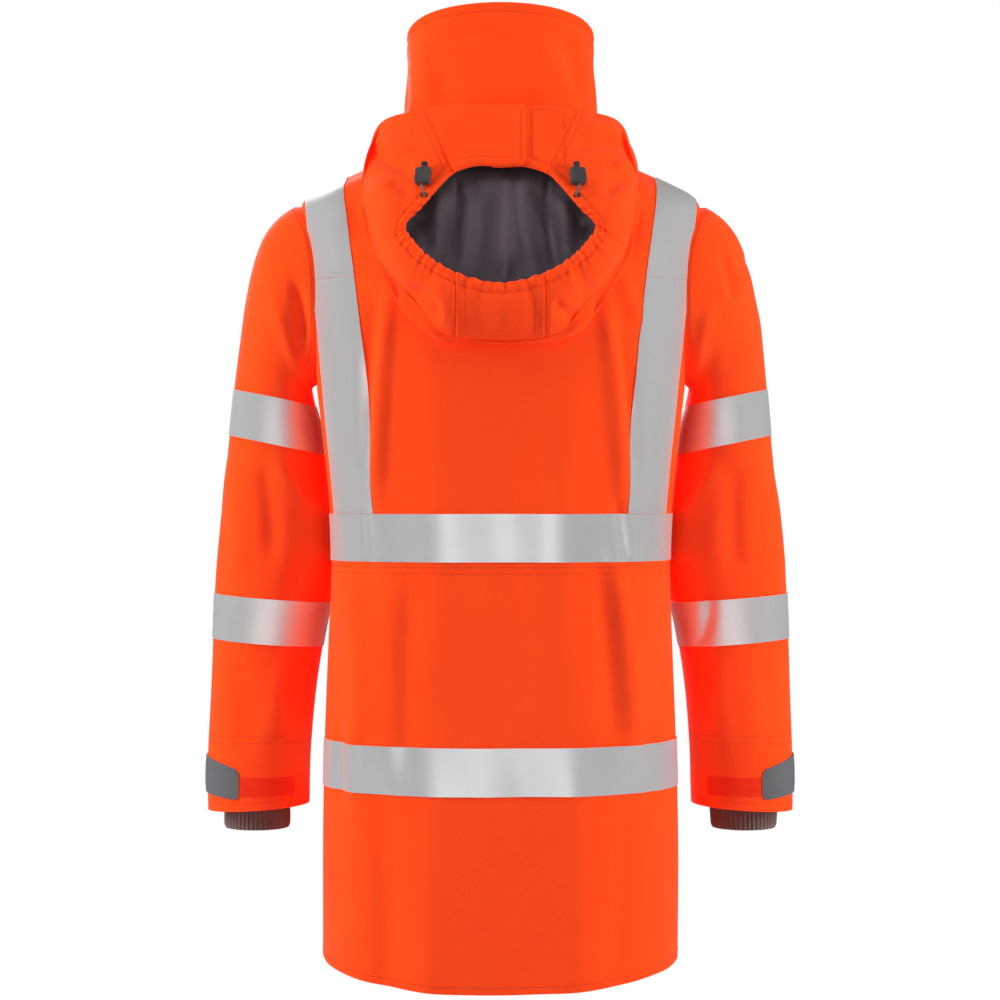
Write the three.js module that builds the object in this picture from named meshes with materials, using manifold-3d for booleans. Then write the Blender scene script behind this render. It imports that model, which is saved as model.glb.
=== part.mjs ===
// Hi-vis waterproof work coat with a stand collar and a hood that is thrown back, filled out as
// when it is worn. Millimetres, +Z up. The front faces -Y and the wearer's left is +X. The origin
// is midway between the shoulders, where the wearer carries the coat.
import * as THREE from 'three';
import { mergeVertices } from 'three/addons/utils/BufferGeometryUtils.js';
import Module from 'manifold-3d';

// ---------------------------------------------------------------- driving dimensions
const CLOTH = 1.6;          // coated shell cloth with its inner layer
const COLLAR_WALL = 3;      // collar: two layers and a stiffener
const TAPE_WALL = 0.8;      // reflective tape
const TAPE_WIDTH = 50;
const GAP = 0.3;            // clearance at seams and under what is sewn on
const FLAP_WALL = 2.2;      // storm flap, folded double
const HEM_DROP = 17;        // the back hem hangs lower than the sides
const RIM_BACK = 201;       // height of the collar's edge at the back
const RIM_SIDE = 178;
const RIM_FRONT = 170;
const COLLAR_FOOT = 70;     // from here up the rows lean with the collar's edge
const COLUMNS = 24;         // facets round the body
const SLEEVE_COLUMNS = 12;

// Neck seam: a plane that falls from the back of the neck to the front.
const NECK_SEAM = { height: 30, slope: 0.24 };

// Horizontal sections of the body and collar: half width, depth behind and in front of the
// origin, and how square the oval is.
const BODY = [
  { z: -822, half: 193, back: 152, front: 150, square: 2.5 },
  { z: -700, half: 193, back: 151, front: 150, square: 2.5 },
  { z: -600, half: 191, back: 149.5, front: 148, square: 2.5 },
  { z: -485, half: 187, back: 148, front: 145, square: 2.5 },
  { z: -400, half: 184, back: 147, front: 143, square: 2.5 },
  { z: -330, half: 187, back: 147.5, front: 143, square: 2.5 },
  { z: -220, half: 199, back: 150, front: 143, square: 2.55 },
  { z: -150, half: 209, back: 149, front: 138, square: 2.5 },
  { z: -100, half: 216, back: 144, front: 130, square: 2.4 },
  { z: -60, half: 221, back: 136, front: 120, square: 2.3 },
  { z: -30, half: 223, back: 127, front: 110, square: 2.2 },
  { z: -12, half: 221, back: 120, front: 103, square: 2.15 },
  { z: 0, half: 211, back: 113, front: 98, square: 2.1 },
  { z: 11, half: 191, back: 107, front: 95, square: 2.05 },
  { z: 20, half: 172, back: 101, front: 93, square: 2 },
  { z: 30, half: 150, back: 95, front: 92, square: 2 },
  { z: 42, half: 127, back: 88, front: 91, square: 2 },
  { z: 55, half: 110, back: 82, front: 91, square: 2 },
  { z: 70, half: 106.5, back: 79, front: 91, square: 2 },
  { z: 115, half: 105.5, back: 78, front: 91, square: 2 },
  { z: 201, half: 102, back: 76, front: 88, square: 2 },
];

// Heights of the rows of facets, closest where the shoulders turn.
const BODY_ROWS = [
  -822, -760, -690, -620, -545, -470, -400, -340, -280, -220, -165,
  -118, -80, -46, -20, -3, 9, 20, 31, 43, 55, 70,
];
const COLLAR_ROWS = [70, 135, 201];
const ALL_ROWS = [...BODY_ROWS, ...COLLAR_ROWS.slice(1)];

// Sections of a sleeve from inside the shoulder to the cuff. Each runs from a point on the outer
// side to one on the inner side, with its middle's depth and half its depth.
const SLEEVE = [
  { n: 0, outX: 160, outZ: 4, inX: 150, inZ: -205, y: -4, deep: 84 },
  { n: 1, outX: 205, outZ: -3, inX: 188, inZ: -204, y: -6, deep: 82 },
  { n: 2, outX: 232, outZ: -12, inX: 203, inZ: -203, y: -9, deep: 80 },
  { n: 3, outX: 255, outZ: -33, inX: 208, inZ: -205, y: -13, deep: 79 },
  { n: 4, outX: 270, outZ: -64, inX: 209, inZ: -208, y: -18, deep: 79 },
  { n: 5, outX: 281, outZ: -108, inX: 208, inZ: -215, y: -26, deep: 79 },
  { n: 6, outX: 288, outZ: -155, inX: 205, inZ: -228, y: -34, deep: 78 },
  { n: 7, outX: 295, outZ: -205, inX: 200, inZ: -247, y: -42, deep: 76 },
  { n: 8, outX: 302, outZ: -262, inX: 195, inZ: -281, y: -49, deep: 74 },
  { n: 9, outX: 308, outZ: -312, inX: 189.5, inZ: -323, y: -55, deep: 71 },
  { n: 10, outX: 314, outZ: -370, inX: 186, inZ: -377, y: -60, deep: 68 },
  { n: 11, outX: 318.5, outZ: -420, inX: 187.5, inZ: -427, y: -63, deep: 66 },
  { n: 12, outX: 321.5, outZ: -465, inX: 196, inZ: -470, y: -65, deep: 64 },
  { n: 13, outX: 324.5, outZ: -520, inX: 204.5, inZ: -522, y: -66, deep: 62 },
  { n: 14, outX: 326.5, outZ: -575, inX: 210.5, inZ: -573, y: -66, deep: 60 },
  { n: 15, outX: 327.5, outZ: -625, inX: 214, inZ: -620, y: -66, deep: 58 },
  { n: 16, outX: 327.5, outZ: -674, inX: 214.5, inZ: -667, y: -66, deep: 57 },
];
const SLEEVE_SQUARE = 2.15;
const SLEEVE_REACH = 260;   // enough to cut right through a sleeve
const SLEEVE_ROWS = [0, 1, 2, 3, 4, 5, 6, 7.2, 8.6, 10, 12, 14, 16];

// Reflective tape round the arms: height of its middle on the sleeve's outer and inner sides.
const ARM_BANDS = [
  { name: 'upper_arm_band', outX: 296, outZ: -232, inX: 201, inZ: -252 },
  { name: 'forearm_band', outX: 321, outZ: -457, inX: 194, inZ: -467 },
];

// Reflective tape round the body, and its middle height.
const BELTS = [
  { name: 'waist_band', z: -368 },
  { name: 'lower_band', z: -610 },
];

// Braces of tape from the waist band over the shoulder and down again: edges at each height.
const BRACE = [
  { z: -342, inner: 132, outer: 176 },
  { z: -181, inner: 143, outer: 191 },
  { z: -94, inner: 153, outer: 200 },
  { z: 0, inner: 166, outer: 211 },
  { z: 40, inner: 166, outer: 211 },
];
const BRACE_JOIN = -94;     // the shoulder piece laps the lower ones here

// Storm flap down the middle of the front, over the edges where the two fronts meet.
const FLAP = { left: 34, right: -30, below: 6, tapeInset: 2 };

// Hood, thrown back. Each station is a line from the edge of its opening (open), out over the
// outer side to the fold (fold) and the outline (rim). The stations run from the middle of the
// chin down one side to the middle of the brim. Swell is how far the cloth puffs out between.
const HOOD = [
  { n: 0, openX: 0, openZ: 18, openY: 126, foldX: 0, foldZ: 88, foldY: 91, swell: 2 },
  { n: 1, openX: 25, openZ: 18.5, openY: 127, foldX: 40, foldZ: 88.5, foldY: 89, swell: 2 },
  { n: 2, openX: 48, openZ: 11, openY: 132, foldX: 80, foldZ: 86, foldY: 79, swell: 5 },
  { n: 3, openX: 58, openZ: 2, openY: 137, foldX: 126, foldZ: 78, foldY: 53, swell: 12 },
  { n: 4, openX: 68, openZ: -10, openY: 143, foldX: 141, foldZ: 46, foldY: 52, swell: 16 },
  { n: 5, openX: 82, openZ: -28, openY: 152, foldX: 145, foldZ: 0, foldY: 93, swell: 16 },
  { n: 6, openX: 97.4, openZ: -46, openY: 160, foldX: 131, foldZ: -68, foldY: 126, swell: 15 },
  { n: 7, openX: 89, openZ: -62, openY: 168, foldX: 113, foldZ: -95, foldY: 143, swell: 15 },
  { n: 8, openX: 72, openZ: -80, openY: 178, foldX: 86, foldZ: -126, foldY: 158, swell: 14 },
  { n: 9, openX: 42, openZ: -98, openY: 186, foldX: 58, foldZ: -158, foldY: 165, swell: 12 },
  { n: 10, openX: 0, openZ: -107.5, openY: 189, foldX: 0, foldZ: -165, foldY: 167, swell: 10 },
];
// Outline of the crown, which lies on the back: its roll outside the fold, and the neck
// seam where it is sewn on.
const CROWN = [
  { n: 0, x: 0, z: 49, y: 95 },
  { n: 1, x: 38, z: 48, y: 92 },
  { n: 2, x: 72, z: 42, y: 85 },
  { n: 3, x: 104, z: 34, y: 74 },
  { n: 4, x: 132, z: 18, y: 70 },
  { n: 5, x: 146, z: -6, y: 90 },
  { n: 6, x: 135, z: -70, y: 118 },
  { n: 7, x: 120, z: -100, y: 134 },
  { n: 8, x: 99, z: -135, y: 145 },
  { n: 9, x: 64, z: -162, y: 157 },
  { n: 10, x: 0, z: -168, y: 160 },
];
const HOOD_LAST = 10;
const HOOD_OUTS = [0, 0.22, 0.5, 0.78, 1];  // rows of facets from the opening to the fold
const CHIN_SEAM = 2;        // stations of the hood's seams
const SIDE_SEAM = 6;
const BRIM_SEAM_X = 46;
const CHIN_EDGE_X = -25.7;  // free edge of the chin flap, over the right chin piece
const CHIN_UNDER_X = 8;     // the right chin piece ends here, under the flap
const EDGE_REACH = 0.006;   // share of a station's length that clearances pass its ends by
const HOOD_MIDDLE = { x: 0, z: -42 };

// The hood's neck, from its side panels forward round the collar: foot and top of each section.
const HOOD_NECK = [
  { footX: 146.5, footZ: -2, footY: 90, topX: 127, topZ: 77.5, topY: 51 },
  { footX: 147, footZ: 24, footY: 48, topX: 125, topZ: 75, topY: 22 },
  { footX: 139, footZ: 36, footY: 2, topX: 119, topZ: 70, topY: -14 },
  { footX: 119, footZ: 36, footY: -46, topX: 103, topZ: 64, topY: -52 },
  { footX: 82, footZ: 20, footY: -86, topX: 72, topZ: 56, topY: -86 },
  { footX: 38, footZ: 0, footY: -104, topX: 38, topZ: 50, topY: -102 },
];

// Cuffs.
const INNER_CUFF = { x: 273, half: 37, y: -66, deep: 36, top: -640, foot: -695, wall: 2 };
const CUFF_TAB = { wall: 2, fromX: 287, topOut: -612, topIn: -626, footOut: -654, footIn: -659 };
const CUFF_STRIP = { wall: 1.2, fromX: 229, toX: 286.4, top: -634, foot: -654 };

// Cord locks of the hood's drawcord.
const LOCK = { x: 79, z: 4, width: 18, height: 20, deep: 9, stand: 1.6, round: 5 };
const PLUNGER = { radius: 3.6, length: 7 };
const EYELET = { x: 79, z: -14, outer: 4, inner: 1.9, thick: 1.4 };
const CORD_RADIUS = 1.3;
const CORD_LEAD = 2.2;      // straight stretch at each end

const BIG = 3000;           // reach of the cutting boxes

const wasm = await Module();
wasm.setup();

// ---------------------------------------------------------------- tables and solids

// Value of a column between a table's rows, on a smooth curve through them.
function read(table, along, column, at) {
  const last = table.length - 1;
  let i = 0;
  while (i < last - 1 && at > table[i + 1][along]) i += 1;
  const slope = (k) => {
    const a = table[Math.max(k - 1, 0)];
    const b = table[Math.min(k + 1, last)];
    return (b[column] - a[column]) / (b[along] - a[along]);
  };
  const span = table[i + 1][along] - table[i][along];
  const t = Math.min(Math.max((at - table[i][along]) / span, 0), 1);
  const start = table[i][column];
  const end = table[i + 1][column];
  const lean = (1 + 2 * t) * (1 - t) ** 2 * start + t * t * (3 - 2 * t) * end;
  return lean + span * t * (1 - t) * ((1 - t) * slope(i) - t * slope(i + 1));
}

const vector = (x, y, z) => new THREE.Vector3(x, y, z);
const power = (value, exponent) => Math.sign(value) * Math.abs(value) ** exponent;

// Manifold solid of a closed geometry.
function solid(geometry) {
  const bare = geometry.clone();
  bare.deleteAttribute('normal');
  bare.deleteAttribute('uv');
  const merged = mergeVertices(bare, 1e-4);
  const vertProperties = new Float32Array(merged.attributes.position.array);
  const triVerts = new Uint32Array(merged.index.array);
  return new wasm.Manifold(new wasm.Mesh({ numProp: 3, vertProperties, triVerts }));
}

// Geometry of points and triangles, turned so that its faces point out.
function closed(points, triangles) {
  const corner = (i) => points[i];
  let volume = 0;
  for (const [a, b, c] of triangles) {
    volume += corner(a).dot(corner(b).clone().cross(corner(c)));
  }
  const index = triangles.flatMap(([a, b, c]) => (volume > 0 ? [a, b, c] : [a, c, b]));
  const geometry = new THREE.BufferGeometry();
  const flat = points.flatMap((p) => p.toArray());
  geometry.setAttribute('position', new THREE.Float32BufferAttribute(flat, 3));
  geometry.setIndex(index);
  return geometry;
}

// Gives every point of a grid its normal, all on the side that the first row's points face. A
// ring's last column is its first again.
function withNormals(grid, ring, outward) {
  const rows = grid.length;
  const cols = grid[0].length;
  const at = (r, c) => {
    const row = grid[Math.min(Math.max(r, 0), rows - 1)];
    return ring ? row[(c + (cols - 1)) % (cols - 1)] : row[Math.min(Math.max(c, 0), cols - 1)];
  };
  const normals = grid.map((row, r) => row.map((_, c) => {
    const along = at(r + 1, c).clone().sub(at(r - 1, c));
    return along.cross(at(r, c + 1).clone().sub(at(r, c - 1))).normalize();
  }));
  const facing = grid[0].reduce((sum, point, c) => sum + normals[0][c].dot(outward(point)), 0);
  return grid.map((row, r) => row.map((point, c) => (
    { point, normal: normals[r][c].multiplyScalar(Math.sign(facing)) }
  )));
}

// Wall between two offsets of a grid. A ring joins its last column to its first.
function wall(grid, low, high, ring = false) {
  const rows = grid.length;
  const cols = ring ? grid[0].length - 1 : grid[0].length;
  const points = [];
  for (const offset of [high, low]) {
    for (const row of grid) {
      for (const { point, normal } of row.slice(0, cols)) {
        points.push(point.clone().addScaledVector(normal, offset));
      }
    }
  }
  const inner = rows * cols;
  const id = (r, c) => r * cols + (c % cols);
  const triangles = [];
  const quad = (a, b, c, d) => triangles.push([a, b, c], [a, c, d]);
  const strips = ring ? cols : cols - 1;
  for (let r = 0; r < rows - 1; r += 1) {
    for (let c = 0; c < strips; c += 1) {
      quad(id(r, c), id(r, c + 1), id(r + 1, c + 1), id(r + 1, c));
      triangles.push([inner + id(r, c), inner + id(r + 1, c + 1), inner + id(r, c + 1)]);
      triangles.push([inner + id(r, c), inner + id(r + 1, c), inner + id(r + 1, c + 1)]);
    }
  }
  for (let c = 0; c < strips; c += 1) {
    quad(id(0, c + 1), id(0, c), inner + id(0, c), inner + id(0, c + 1));
    const top = rows - 1;
    quad(id(top, c), id(top, c + 1), inner + id(top, c + 1), inner + id(top, c));
  }
  if (!ring) {
    for (let r = 0; r < rows - 1; r += 1) {
      quad(id(r, 0), id(r + 1, 0), inner + id(r + 1, 0), inner + id(r, 0));
      const c = cols - 1;
      quad(id(r + 1, c), id(r, c), inner + id(r, c), inner + id(r + 1, c));
    }
  }
  return closed(points, triangles);
}

// Solid that a ring grid encloses, grown by an offset, its ends closed flat.
function plug(grid, grow) {
  const cols = grid[0].length - 1;
  const points = [];
  for (const row of grid) {
    for (const { point, normal } of row.slice(0, cols)) {
      points.push(point.clone().addScaledVector(normal, grow));
    }
  }
  const id = (r, c) => r * cols + (c % cols);
  const triangles = [];
  for (let r = 0; r < grid.length - 1; r += 1) {
    for (let c = 0; c < cols; c += 1) {
      triangles.push([id(r, c), id(r, c + 1), id(r + 1, c + 1)]);
      triangles.push([id(r, c), id(r + 1, c + 1), id(r + 1, c)]);
    }
  }
  for (const r of [0, grid.length - 1]) {
    const middle = vector(0, 0, 0);
    for (let c = 0; c < cols; c += 1) middle.addScaledVector(points[id(r, c)], 1 / cols);
    const hub = points.push(middle) - 1;
    for (let c = 0; c < cols; c += 1) {
      const pair = r === 0 ? [id(r, c + 1), id(r, c)] : [id(r, c), id(r, c + 1)];
      triangles.push([pair[0], pair[1], hub]);
    }
  }
  return closed(points, triangles);
}

// Wall of a ring grid whose last row draws in to one point.
function cup(grid, middle, low, high) {
  const cols = grid[0].length - 1;
  const points = [];
  const facing = vector(0, 0, 0);
  for (const { normal } of grid[grid.length - 1]) facing.add(normal);
  facing.normalize();
  for (const offset of [high, low]) {
    for (const row of grid) {
      for (const { point, normal } of row.slice(0, cols)) {
        points.push(point.clone().addScaledVector(normal, offset));
      }
    }
    points.push(middle.clone().addScaledVector(facing, offset));
  }
  const inner = grid.length * cols + 1;
  const hub = grid.length * cols;
  const id = (r, c) => r * cols + (c % cols);
  const triangles = [];
  const both = (a, b, c) => triangles.push([a, b, c], [inner + a, inner + c, inner + b]);
  for (let c = 0; c < cols; c += 1) {
    for (let r = 0; r < grid.length - 1; r += 1) {
      both(id(r, c), id(r, c + 1), id(r + 1, c + 1));
      both(id(r, c), id(r + 1, c + 1), id(r + 1, c));
    }
    both(id(grid.length - 1, c), id(grid.length - 1, c + 1), hub);
    triangles.push([id(0, c + 1), id(0, c), inner + id(0, c)]);
    triangles.push([id(0, c + 1), inner + id(0, c), inner + id(0, c + 1)]);
  }
  return closed(points, triangles);
}

// Box between two corners, a prism of an outline in X and Z, and a slab of a given thickness
// whose middle plane passes through two points in X and Z.
function box(low, high) {
  const size = high.clone().sub(low);
  const geometry = new THREE.BoxGeometry(size.x, size.y, size.z);
  geometry.translate(...low.clone().add(high).multiplyScalar(0.5).toArray());
  return solid(geometry);
}
const between = (x0, x1, y0, y1, z0, z1) => box(vector(x0, y0, z0), vector(x1, y1, z1));
const above = (z) => between(-BIG, BIG, -BIG, BIG, z, BIG);
const below = (z) => between(-BIG, BIG, -BIG, BIG, -BIG, z);

function prism(outline, y0, y1) {
  const shape = new THREE.Shape(outline.map(([x, z]) => new THREE.Vector2(x, z)));
  const geometry = new THREE.ExtrudeGeometry(shape, { depth: y1 - y0, bevelEnabled: false });
  geometry.rotateX(Math.PI / 2);
  geometry.translate(0, y1, 0);
  return solid(geometry);
}

function slab(outX, outZ, inX, inZ, thickness, reach) {
  const geometry = new THREE.BoxGeometry(reach, reach, thickness);
  geometry.rotateY(-Math.atan2(outZ - inZ, outX - inX));
  geometry.translate((outX + inX) / 2, 0, (outZ + inZ) / 2);
  return solid(geometry);
}

// The neck seam's plane, as the solid over it.
function overNeckSeam(gap) {
  const geometry = new THREE.BoxGeometry(BIG, BIG, BIG);
  geometry.translate(0, 0, BIG / 2);
  geometry.rotateX(Math.atan(NECK_SEAM.slope));
  geometry.translate(0, 0, NECK_SEAM.height + gap);
  return solid(geometry);
}

// ---------------------------------------------------------------- body surface

// Point of the body at a share of the way round from the middle of the back, and a height.
function bodyPoint(share, z) {
  const angle = 2 * Math.PI * share;
  const roundness = 2 / read(BODY, 'z', 'square', z);
  const depth = read(BODY, 'z', Math.cos(angle) >= 0 ? 'back' : 'front', z);
  const x = read(BODY, 'z', 'half', z) * power(Math.sin(angle), roundness);
  const y = depth * power(Math.cos(angle), roundness);
  return vector(x, y, bodyHeight(share, z));
}

// Height of a row of points there: the hem hangs lower behind, and the collar's edge falls to
// the sides and front.
function bodyHeight(share, z) {
  const facing = Math.cos(2 * Math.PI * share);
  const low = Math.min(Math.max((-640 - z) / 182, 0), 1);
  if (z <= COLLAR_FOOT) return z - HEM_DROP * low * Math.max(facing, 0) ** 2;
  const edge = facing > 0
    ? RIM_SIDE + (RIM_BACK - RIM_SIDE) * facing ** 0.8
    : RIM_SIDE + (RIM_FRONT - RIM_SIDE) * -facing;
  return COLLAR_FOOT + ((z - COLLAR_FOOT) * (edge - COLLAR_FOOT)) / (RIM_BACK - COLLAR_FOOT);
}

// Depth of the back's surface at a place seen from behind.
function backDepth(x, z) {
  const ratio = Math.min(Math.abs(x) / read(BODY, 'z', 'half', z), 0.97);
  const square = read(BODY, 'z', 'square', z);
  return read(BODY, 'z', 'back', z) * (1 - ratio ** square) ** (1 / square);
}

function bodyGrid(rows) {
  const grid = rows.map((z) => Array.from(
    { length: COLUMNS + 1 },
    (_, c) => bodyPoint((c % COLUMNS) / COLUMNS, z),
  ));
  return withNormals(grid, true, (p) => vector(p.x, p.y, 0));
}

// The columns of a ring grid from one seam to the next, in by half a gap at each end.
function panel(grid, from, to) {
  const round = grid[0].length - 1;
  return grid.map((row) => {
    const part = [];
    for (let c = from; c <= to; c += 1) part.push(row[(c + round) % round]);
    const inset = (edge, next) => {
      const step = GAP / 2 / edge.point.distanceTo(next.point);
      return { point: edge.point.clone().lerp(next.point, step), normal: edge.normal };
    };
    const last = part.length - 1;
    const ends = [inset(part[0], part[1]), inset(part[last], part[last - 1])];
    return [ends[0], ...part.slice(1, last), ends[1]];
  });
}

// ---------------------------------------------------------------- sleeve surface

function sleevePoint(side, angle, n) {
  const row = (column) => read(SLEEVE, 'n', column, n);
  const outer = vector(row('outX'), row('y'), row('outZ'));
  const inner = vector(row('inX'), row('y'), row('inZ'));
  const reach = power(Math.cos(angle), 2 / SLEEVE_SQUARE);
  const point = outer.clone().add(inner).multiplyScalar(0.5);
  point.addScaledVector(outer.clone().sub(inner), reach / 2);
  point.y += row('deep') * power(Math.sin(angle), 2 / SLEEVE_SQUARE);
  point.x *= side;
  return point;
}

function sleeveGrid(side) {
  const grid = SLEEVE_ROWS.map((n) => Array.from(
    { length: SLEEVE_COLUMNS + 1 },
    (_, c) => sleevePoint(side, (2 * Math.PI * (c % SLEEVE_COLUMNS)) / SLEEVE_COLUMNS, n),
  ));
  const start = SLEEVE[0];
  const middle = vector((side * (start.outX + start.inX)) / 2, start.y, (start.outZ + start.inZ) / 2);
  return withNormals(grid, true, (p) => p.clone().sub(middle));
}

// ---------------------------------------------------------------- hood surface

// Point of the hood's outer side. The station counts from the chin round to the brim on the
// left, and on round to the chin again on the right; out runs from the opening to the fold.
function hoodPoint(station, out) {
  const mirrored = station > HOOD_LAST || station < 0;
  const n = station > HOOD_LAST ? 2 * HOOD_LAST - station : Math.abs(station);
  const side = mirrored ? -1 : 1;
  const row = (column) => read(HOOD, 'n', column, n);
  const open = vector(side * row('openX'), row('openY'), row('openZ'));
  const fold = vector(side * row('foldX'), row('foldY'), row('foldZ'));
  const point = open.clone().lerp(fold, out);
  const bow = 4 * out * (1 - out) * row('swell');
  const away = fold.clone().sub(open).normalize();
  point.y += bow * (0.5 + 0.5 * Math.sqrt(1 - away.y ** 2));
  point.addScaledVector(vector(away.x, 0, away.z), bow * -away.y * 0.6);
  return point;
}

// Loop of points round the hood, given a function of the station and side.
function loop(make) {
  const count = 2 * HOOD_LAST;
  return Array.from({ length: count + 1 }, (_, c) => {
    const station = c % count;
    const side = station > HOOD_LAST ? -1 : 1;
    return make(station > HOOD_LAST ? count - station : station, side);
  });
}

// ---------------------------------------------------------------- materials and nodes

const finish = (color, roughness, metalness = 0) => ({ color, roughness, metalness });
const ORANGE = finish(0xf4491c, 0.62);
const SILVER = finish(0xd2d2d2, 0.45);
const GREY = finish(0x69696e, 0.6);
const KNIT = finish(0x5a484a, 0.85);
const DARK = finish(0x4b444e, 0.4);
const SMOKE = finish(0x5d5d60, 0.25);
const LOOP_TAPE = finish(0xd93a18, 0.9);

const coat = new THREE.Group();

function add(name, body, look) {
  let geometry = body;
  if (!body.isBufferGeometry) {
    const mesh = body.getMesh();
    geometry = new THREE.BufferGeometry();
    const flat = new Float32Array(mesh.vertProperties);
    geometry.setAttribute('position', new THREE.BufferAttribute(flat, 3));
    geometry.setIndex([...mesh.triVerts]);
  }
  const mesh = new THREE.Mesh(geometry, new THREE.MeshStandardMaterial(look));
  mesh.name = name;
  coat.add(mesh);
  return mesh;
}

// ---------------------------------------------------------------- body, collar and sleeves

const whole = bodyGrid(ALL_ROWS);
const bodyRows = bodyGrid(BODY_ROWS);
const hull = solid(plug(whole, GAP));
const sides = [{ side: 1, word: 'left' }, { side: -1, word: 'right' }];
const armGrids = sides.map(({ side }) => sleeveGrid(side));
const armholes = armGrids.map((grid) => solid(plug(grid, GAP)));
const neckCut = overNeckSeam(-GAP / 2);
const flapCut = (gap) => between(FLAP.right - gap, FLAP.left + gap, -BIG, 0, -BIG, BIG);

const openArmholes = (body) => armholes.reduce((rest, armhole) => rest.subtract(armhole), body);

const quarter = COLUMNS / 4;
const panels = [
  { name: 'back', from: -quarter, to: quarter },
  { name: 'front_left', from: quarter, to: 2 * quarter },
  { name: 'front_right', from: 2 * quarter, to: 3 * quarter },
];
for (const { name, from, to } of panels) {
  const cloth = solid(wall(panel(bodyRows, from, to), -CLOTH, 0));
  add(name, openArmholes(cloth).subtract(neckCut), ORANGE);
}

const collarRows = [-20, -3, 9, 20, 31, 43, 55, ...COLLAR_ROWS];
const collarGrid = panel(bodyGrid(collarRows), -2 * quarter, 2 * quarter);
const collar = solid(wall(collarGrid, -COLLAR_WALL, 0));
add('collar', collar.intersect(overNeckSeam(GAP / 2)), ORANGE);

const flapLayer = solid(wall(panel(whole, quarter, 3 * quarter), GAP, GAP + FLAP_WALL));
add('storm_flap', flapLayer.intersect(flapCut(0)).subtract(above(RIM_FRONT - FLAP.below)), ORANGE);

sides.forEach(({ word }, i) => {
  const cloth = solid(wall(armGrids[i], -CLOTH, 0, true));
  add(`sleeve_${word}`, cloth.subtract(hull), ORANGE);
});

// ---------------------------------------------------------------- reflective tape

const tapeLayer = solid(wall(bodyRows, GAP, GAP + TAPE_WALL, true));
const flapTop = GAP + FLAP_WALL + GAP;
const flapTape = solid(wall(bodyRows, flapTop, flapTop + TAPE_WALL, true));
for (const { name, z } of BELTS) {
  const band = between(-BIG, BIG, -BIG, BIG, z - TAPE_WIDTH / 2, z + TAPE_WIDTH / 2);
  add(name, tapeLayer.intersect(band).subtract(flapCut(GAP)), SILVER);
  add(`${name}_flap`, flapTape.intersect(band).intersect(flapCut(-FLAP.tapeInset)), SILVER);
}

const braceLayer = openArmholes(tapeLayer);
const waistTop = BELTS[0].z + TAPE_WIDTH / 2;
sides.forEach(({ side, word }) => {
  const inner = BRACE.map((row) => [side * row.inner, row.z]);
  const outer = BRACE.map((row) => [side * row.outer, row.z]).reverse();
  const strip = braceLayer.intersect(prism([...inner, ...outer], -BIG, BIG));
  add(`brace_shoulder_${word}`, strip.intersect(above(BRACE_JOIN)), SILVER);
  const lower = strip.intersect(below(BRACE_JOIN - GAP)).intersect(above(waistTop + GAP));
  add(`brace_back_${word}`, lower.intersect(between(-BIG, BIG, 0, BIG, -BIG, BIG)), SILVER);
  add(`brace_front_${word}`, lower.intersect(between(-BIG, BIG, -BIG, 0, -BIG, BIG)), SILVER);
});

sides.forEach(({ side, word }, i) => {
  const layer = solid(wall(armGrids[i], GAP, GAP + TAPE_WALL, true)).subtract(hull);
  for (const { name, outX, outZ, inX, inZ } of ARM_BANDS) {
    const ring = slab(side * outX, outZ, side * inX, inZ, TAPE_WIDTH, SLEEVE_REACH);
    add(`${name}_${word}`, layer.intersect(ring), SILVER);
  }
});

// ---------------------------------------------------------------- cuffs

sides.forEach(({ side, word }, i) => {
  const rows = [INNER_CUFF.foot, (INNER_CUFF.foot + INNER_CUFF.top) / 2, INNER_CUFF.top];
  const grid = rows.map((z) => Array.from({ length: SLEEVE_COLUMNS + 1 }, (_, c) => {
    const angle = (2 * Math.PI * (c % SLEEVE_COLUMNS)) / SLEEVE_COLUMNS;
    const x = INNER_CUFF.x + INNER_CUFF.half * Math.cos(angle);
    return vector(side * x, INNER_CUFF.y + INNER_CUFF.deep * Math.sin(angle), z);
  }));
  const outward = (p) => vector(p.x - side * INNER_CUFF.x, p.y - INNER_CUFF.y, 0);
  add(`inner_cuff_${word}`, wall(withNormals(grid, true, outward), -INNER_CUFF.wall, 0, true), KNIT);

  const layer = solid(wall(armGrids[i], GAP, GAP + CUFF_STRIP.wall, true));
  const strip = layer.intersect(between(
    side > 0 ? CUFF_STRIP.fromX : -CUFF_STRIP.toX,
    side > 0 ? CUFF_STRIP.toX : -CUFF_STRIP.fromX,
    INNER_CUFF.y, BIG, CUFF_STRIP.foot, CUFF_STRIP.top,
  ));
  add(`cuff_strip_${word}`, strip, LOOP_TAPE);
  const tabLayer = solid(wall(armGrids[i], GAP, GAP + CUFF_TAB.wall, true));
  const far = SLEEVE[16].outX + 10;
  const tab = [
    [CUFF_TAB.fromX, CUFF_TAB.topIn], [far, CUFF_TAB.topOut],
    [far, CUFF_TAB.footOut], [CUFF_TAB.fromX, CUFF_TAB.footIn],
  ].map(([x, z]) => [side * x, z]);
  add(`cuff_tab_${word}`, tabLayer.intersect(prism(tab, -BIG, BIG)), GREY);
});

// ---------------------------------------------------------------- hood

const clear = (geometry) => solid(geometry).subtract(hull);
const total = 2 * HOOD_LAST;

// Grid of the whole outer side, and its solid with a clearance all round, which the crown,
// lining and neck are cut to.
const skinRing = (outs) => withNormals(outs.map((out) => Array.from(
  { length: total + 1 },
  (_, c) => hoodPoint(c % total, out),
)), true, () => vector(0, 1, 0));
const skinGrid = skinRing(HOOD_OUTS);
const [first, ...rest] = HOOD_OUTS;
const reachOuts = [first - EDGE_REACH, ...rest.slice(0, -1), 1 + EDGE_REACH];
const skin = solid(wall(skinRing(reachOuts), -CLOTH - GAP, GAP, true));
const largest = (body) => body.decompose().reduce((a, b) => (a.volume() > b.volume() ? a : b));

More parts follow.
